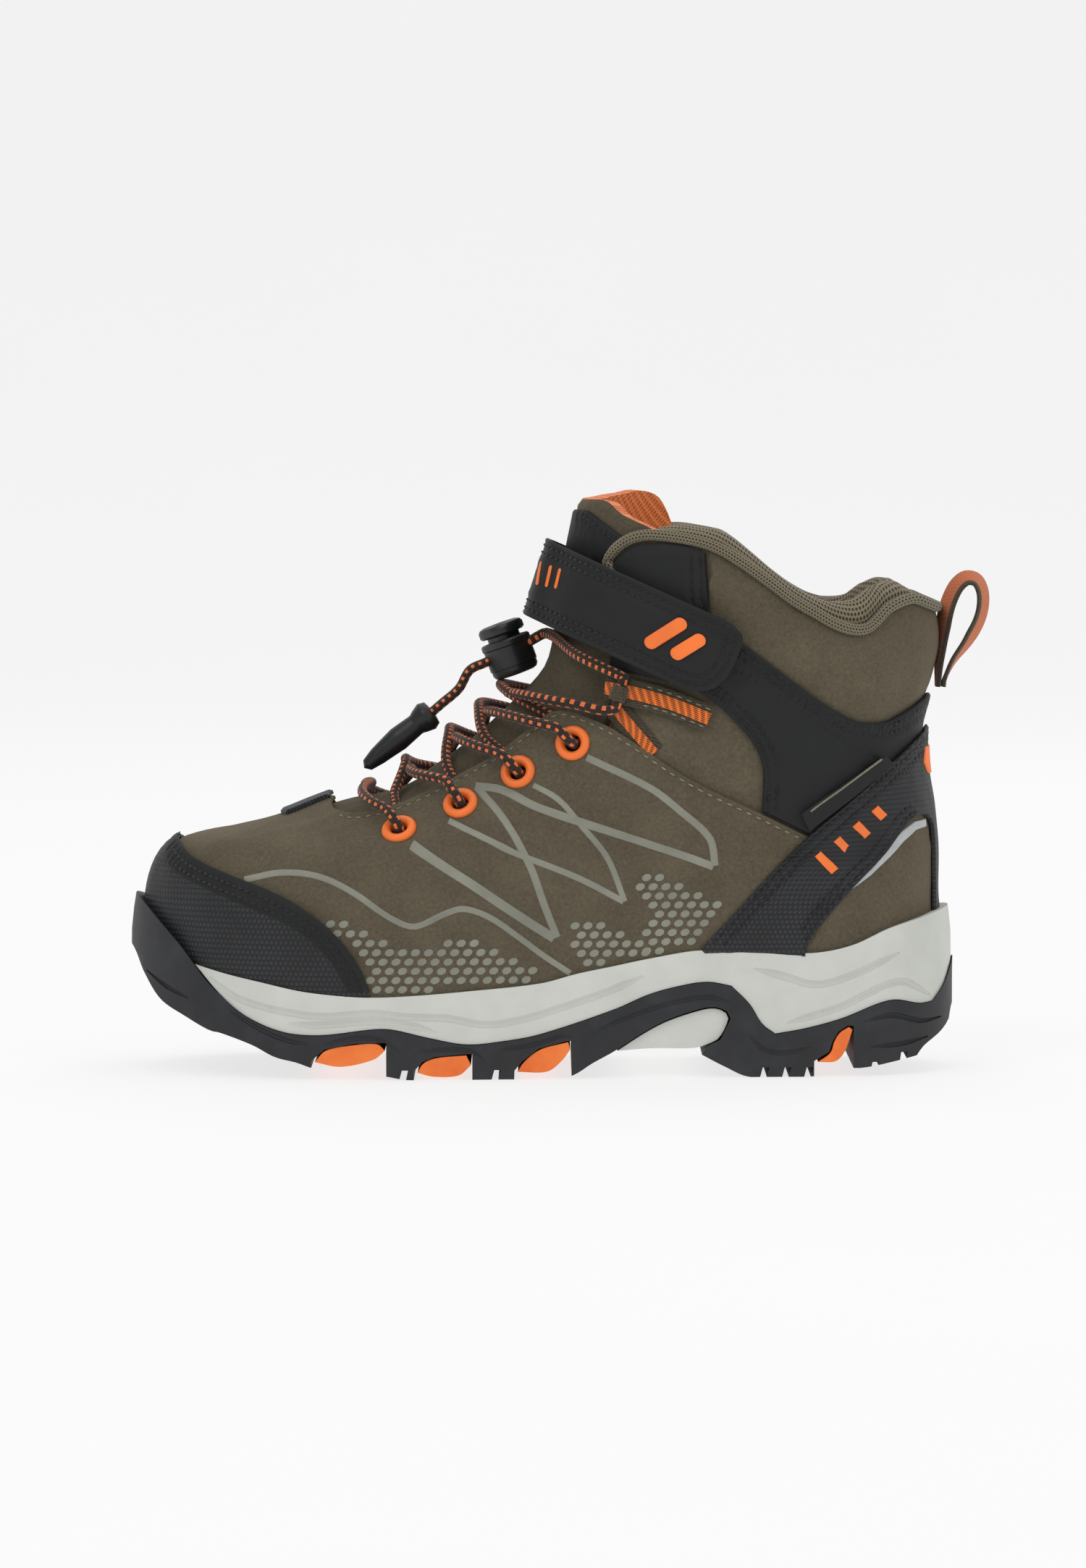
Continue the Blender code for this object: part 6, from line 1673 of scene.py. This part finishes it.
# ---------------------------------------------------------------- the add-on
class BootSettings(bpy.types.PropertyGroup):
    """Colours, sizes and light that a user would change."""
    cloth_colour: FloatVectorProperty(name="Cloth", description="Colour of the brushed softshell", size=3, min=0, max=1,
                                      subtype="COLOR", default=colour("#5f5747")[:3])
    black_colour: FloatVectorProperty(name="Overlays", description="Colour of the coated overlays and the strap",
                                      size=3, min=0, max=1, subtype="COLOR", default=colour("#151617")[:3])
    orange_colour: FloatVectorProperty(name="Accents", description="Colour of the eyelets, bars and marks", size=3,
                                       min=0, max=1, subtype="COLOR", default=colour("#ff7d31")[:3])
    foam_colour: FloatVectorProperty(name="Midsole", description="Colour of the midsole foam", size=3, min=0, max=1,
                                     subtype="COLOR", default=colour("#d3d5ce")[:3])
    print_colour: FloatVectorProperty(name="Prints", description="Colour of the film lines and dots", size=3, min=0,
                                      max=1, subtype="COLOR", default=colour("#88887b")[:3])
    stitch: FloatProperty(name="Stitch", description="Length of one stitch", default=0.0018, min=0.001, max=0.003,
                          unit="LENGTH")
    dot: FloatProperty(name="Dot", description="Half length of a raised dot", default=0.0015, min=0.0008, max=0.0017,
                       unit="LENGTH")
    light: FloatProperty(name="Lamps", description="Strength of the soft lamps", default=0.36, min=0, max=2)
    floor: FloatProperty(name="Floor", description="Light given off by the floor", default=0.74, min=0, max=1)
    world: FloatProperty(name="Surround", description="Strength of the light all round", default=0.42, min=0, max=2)


def settings():
    return bpy.context.scene.hiking_boot


class BOOT_OT_finishes(bpy.types.Operator):
    """Makes the finishes of the boot"""
    bl_idname, bl_label = "boot.finishes", "Finishes"

    def execute(self, context):
        make_finishes(settings())
        return {"FINISHED"}


class BOOT_OT_stage(bpy.types.Operator):
    """Adds the floor, the lamps and the camera"""
    bl_idname, bl_label = "boot.stage", "Stage"

    def execute(self, context):
        make_stage(settings().light, settings().floor, settings().world)
        return {"FINISHED"}


class BOOT_OT_lacing(bpy.types.Operator):
    """Adds the braided lace with its two free tails and its moulded end"""
    bl_idname, bl_label = "boot.lacing", "Lace"

    def execute(self, context):
        make_lace()
        return {"FINISHED"}


class BOOT_OT_upper(bpy.types.Operator):
    """Adds the softshell forefoot and the ankle cuff"""
    bl_idname, bl_label = "boot.upper", "Upper"

    def execute(self, context):
        make_vamp()
        make_shaft()
        return {"FINISHED"}


class BOOT_OT_overlays(bpy.types.Operator):
    """Adds the toe cap, the heel brace and the ankle overlay"""
    bl_idname, bl_label = "boot.overlays", "Overlays"

    def execute(self, context):
        make_overlays()
        return {"FINISHED"}


class BOOT_OT_stitching(bpy.types.Operator):
    """Adds the rows of thread on the upper"""
    bl_idname, bl_label = "boot.stitching", "Stitching"

    def execute(self, context):
        make_stitching()
        return {"FINISHED"}


class BOOT_OT_prints(bpy.types.Operator):
    """Adds the printed lines and dots, the piping, the heel mark and the side tag"""
    bl_idname, bl_label = "boot.prints", "Prints and marks"

    def execute(self, context):
        make_prints(settings().dot * 1000)
        make_marks()
        return {"FINISHED"}


class BOOT_OT_sole(bpy.types.Operator):
    """Adds the foam midsole and the rubber tread"""
    bl_idname, bl_label = "boot.sole", "Sole"

    def execute(self, context):
        make_midsole()
        make_outsole()
        return {"FINISHED"}


class BOOT_OT_inside(bpy.types.Operator):
    """Adds the lining, the padded cuff roll, the binding and the footbed"""
    bl_idname, bl_label = "boot.inside", "Inside"

    def execute(self, context):
        make_inside()
        make_binding()
        return {"FINISHED"}


class BOOT_OT_tongue(bpy.types.Operator):
    """Adds the padded tongue with its patch, and the throat tab"""
    bl_idname, bl_label = "boot.tongue", "Tongue"

    def execute(self, context):
        make_tongue()
        make_throat_tab()
        return {"FINISHED"}


class BOOT_OT_lace_fittings(bpy.types.Operator):
    """Adds the eyelets, the webbing guides and the cord lock"""
    bl_idname, bl_label = "boot.lace_fittings", "Lace fittings"

    def execute(self, context):
        make_eyelets()
        make_guides()
        make_cord_lock()
        return {"FINISHED"}


class BOOT_OT_strap(bpy.types.Operator):
    """Adds the ankle strap with its hook tape and bars"""
    bl_idname, bl_label = "boot.strap", "Strap"

    def execute(self, context):
        make_strap()
        return {"FINISHED"}


class BOOT_OT_pull_loop(bpy.types.Operator):
    """Adds the woven pull loop at the heel"""
    bl_idname, bl_label = "boot.pull_loop", "Pull loop"

    def execute(self, context):
        make_pull_loop()
        return {"FINISHED"}


STEPS = (BOOT_OT_finishes, BOOT_OT_stage, BOOT_OT_lacing, BOOT_OT_upper, BOOT_OT_overlays, BOOT_OT_stitching,
         BOOT_OT_prints, BOOT_OT_sole, BOOT_OT_inside, BOOT_OT_tongue, BOOT_OT_lace_fittings, BOOT_OT_strap,
         BOOT_OT_pull_loop)


class BOOT_PT_panel(bpy.types.Panel):
    """Colours, sizes and steps of the boot"""
    bl_idname, bl_label = "BOOT_PT_panel", "Hiking Boot"
    bl_space_type, bl_region_type, bl_category = "VIEW_3D", "UI", "Boot"

    def draw(self, context):
        for name in BootSettings.__annotations__:
            self.layout.prop(context.scene.hiking_boot, name)
        for step in STEPS:
            self.layout.operator(step.bl_idname)


def register():
    for kind in (BootSettings, *STEPS, BOOT_PT_panel):
        bpy.utils.register_class(kind)
    bpy.types.Scene.hiking_boot = PointerProperty(type=BootSettings)


def unregister():
    del bpy.types.Scene.hiking_boot
    for kind in (BOOT_PT_panel, *reversed(STEPS), BootSettings):
        bpy.utils.unregister_class(kind)


def main():
    register()
    for step in STEPS:
        getattr(bpy.ops.boot, step.bl_idname.split(".")[1])()


if __name__ == "__main__":
    main()
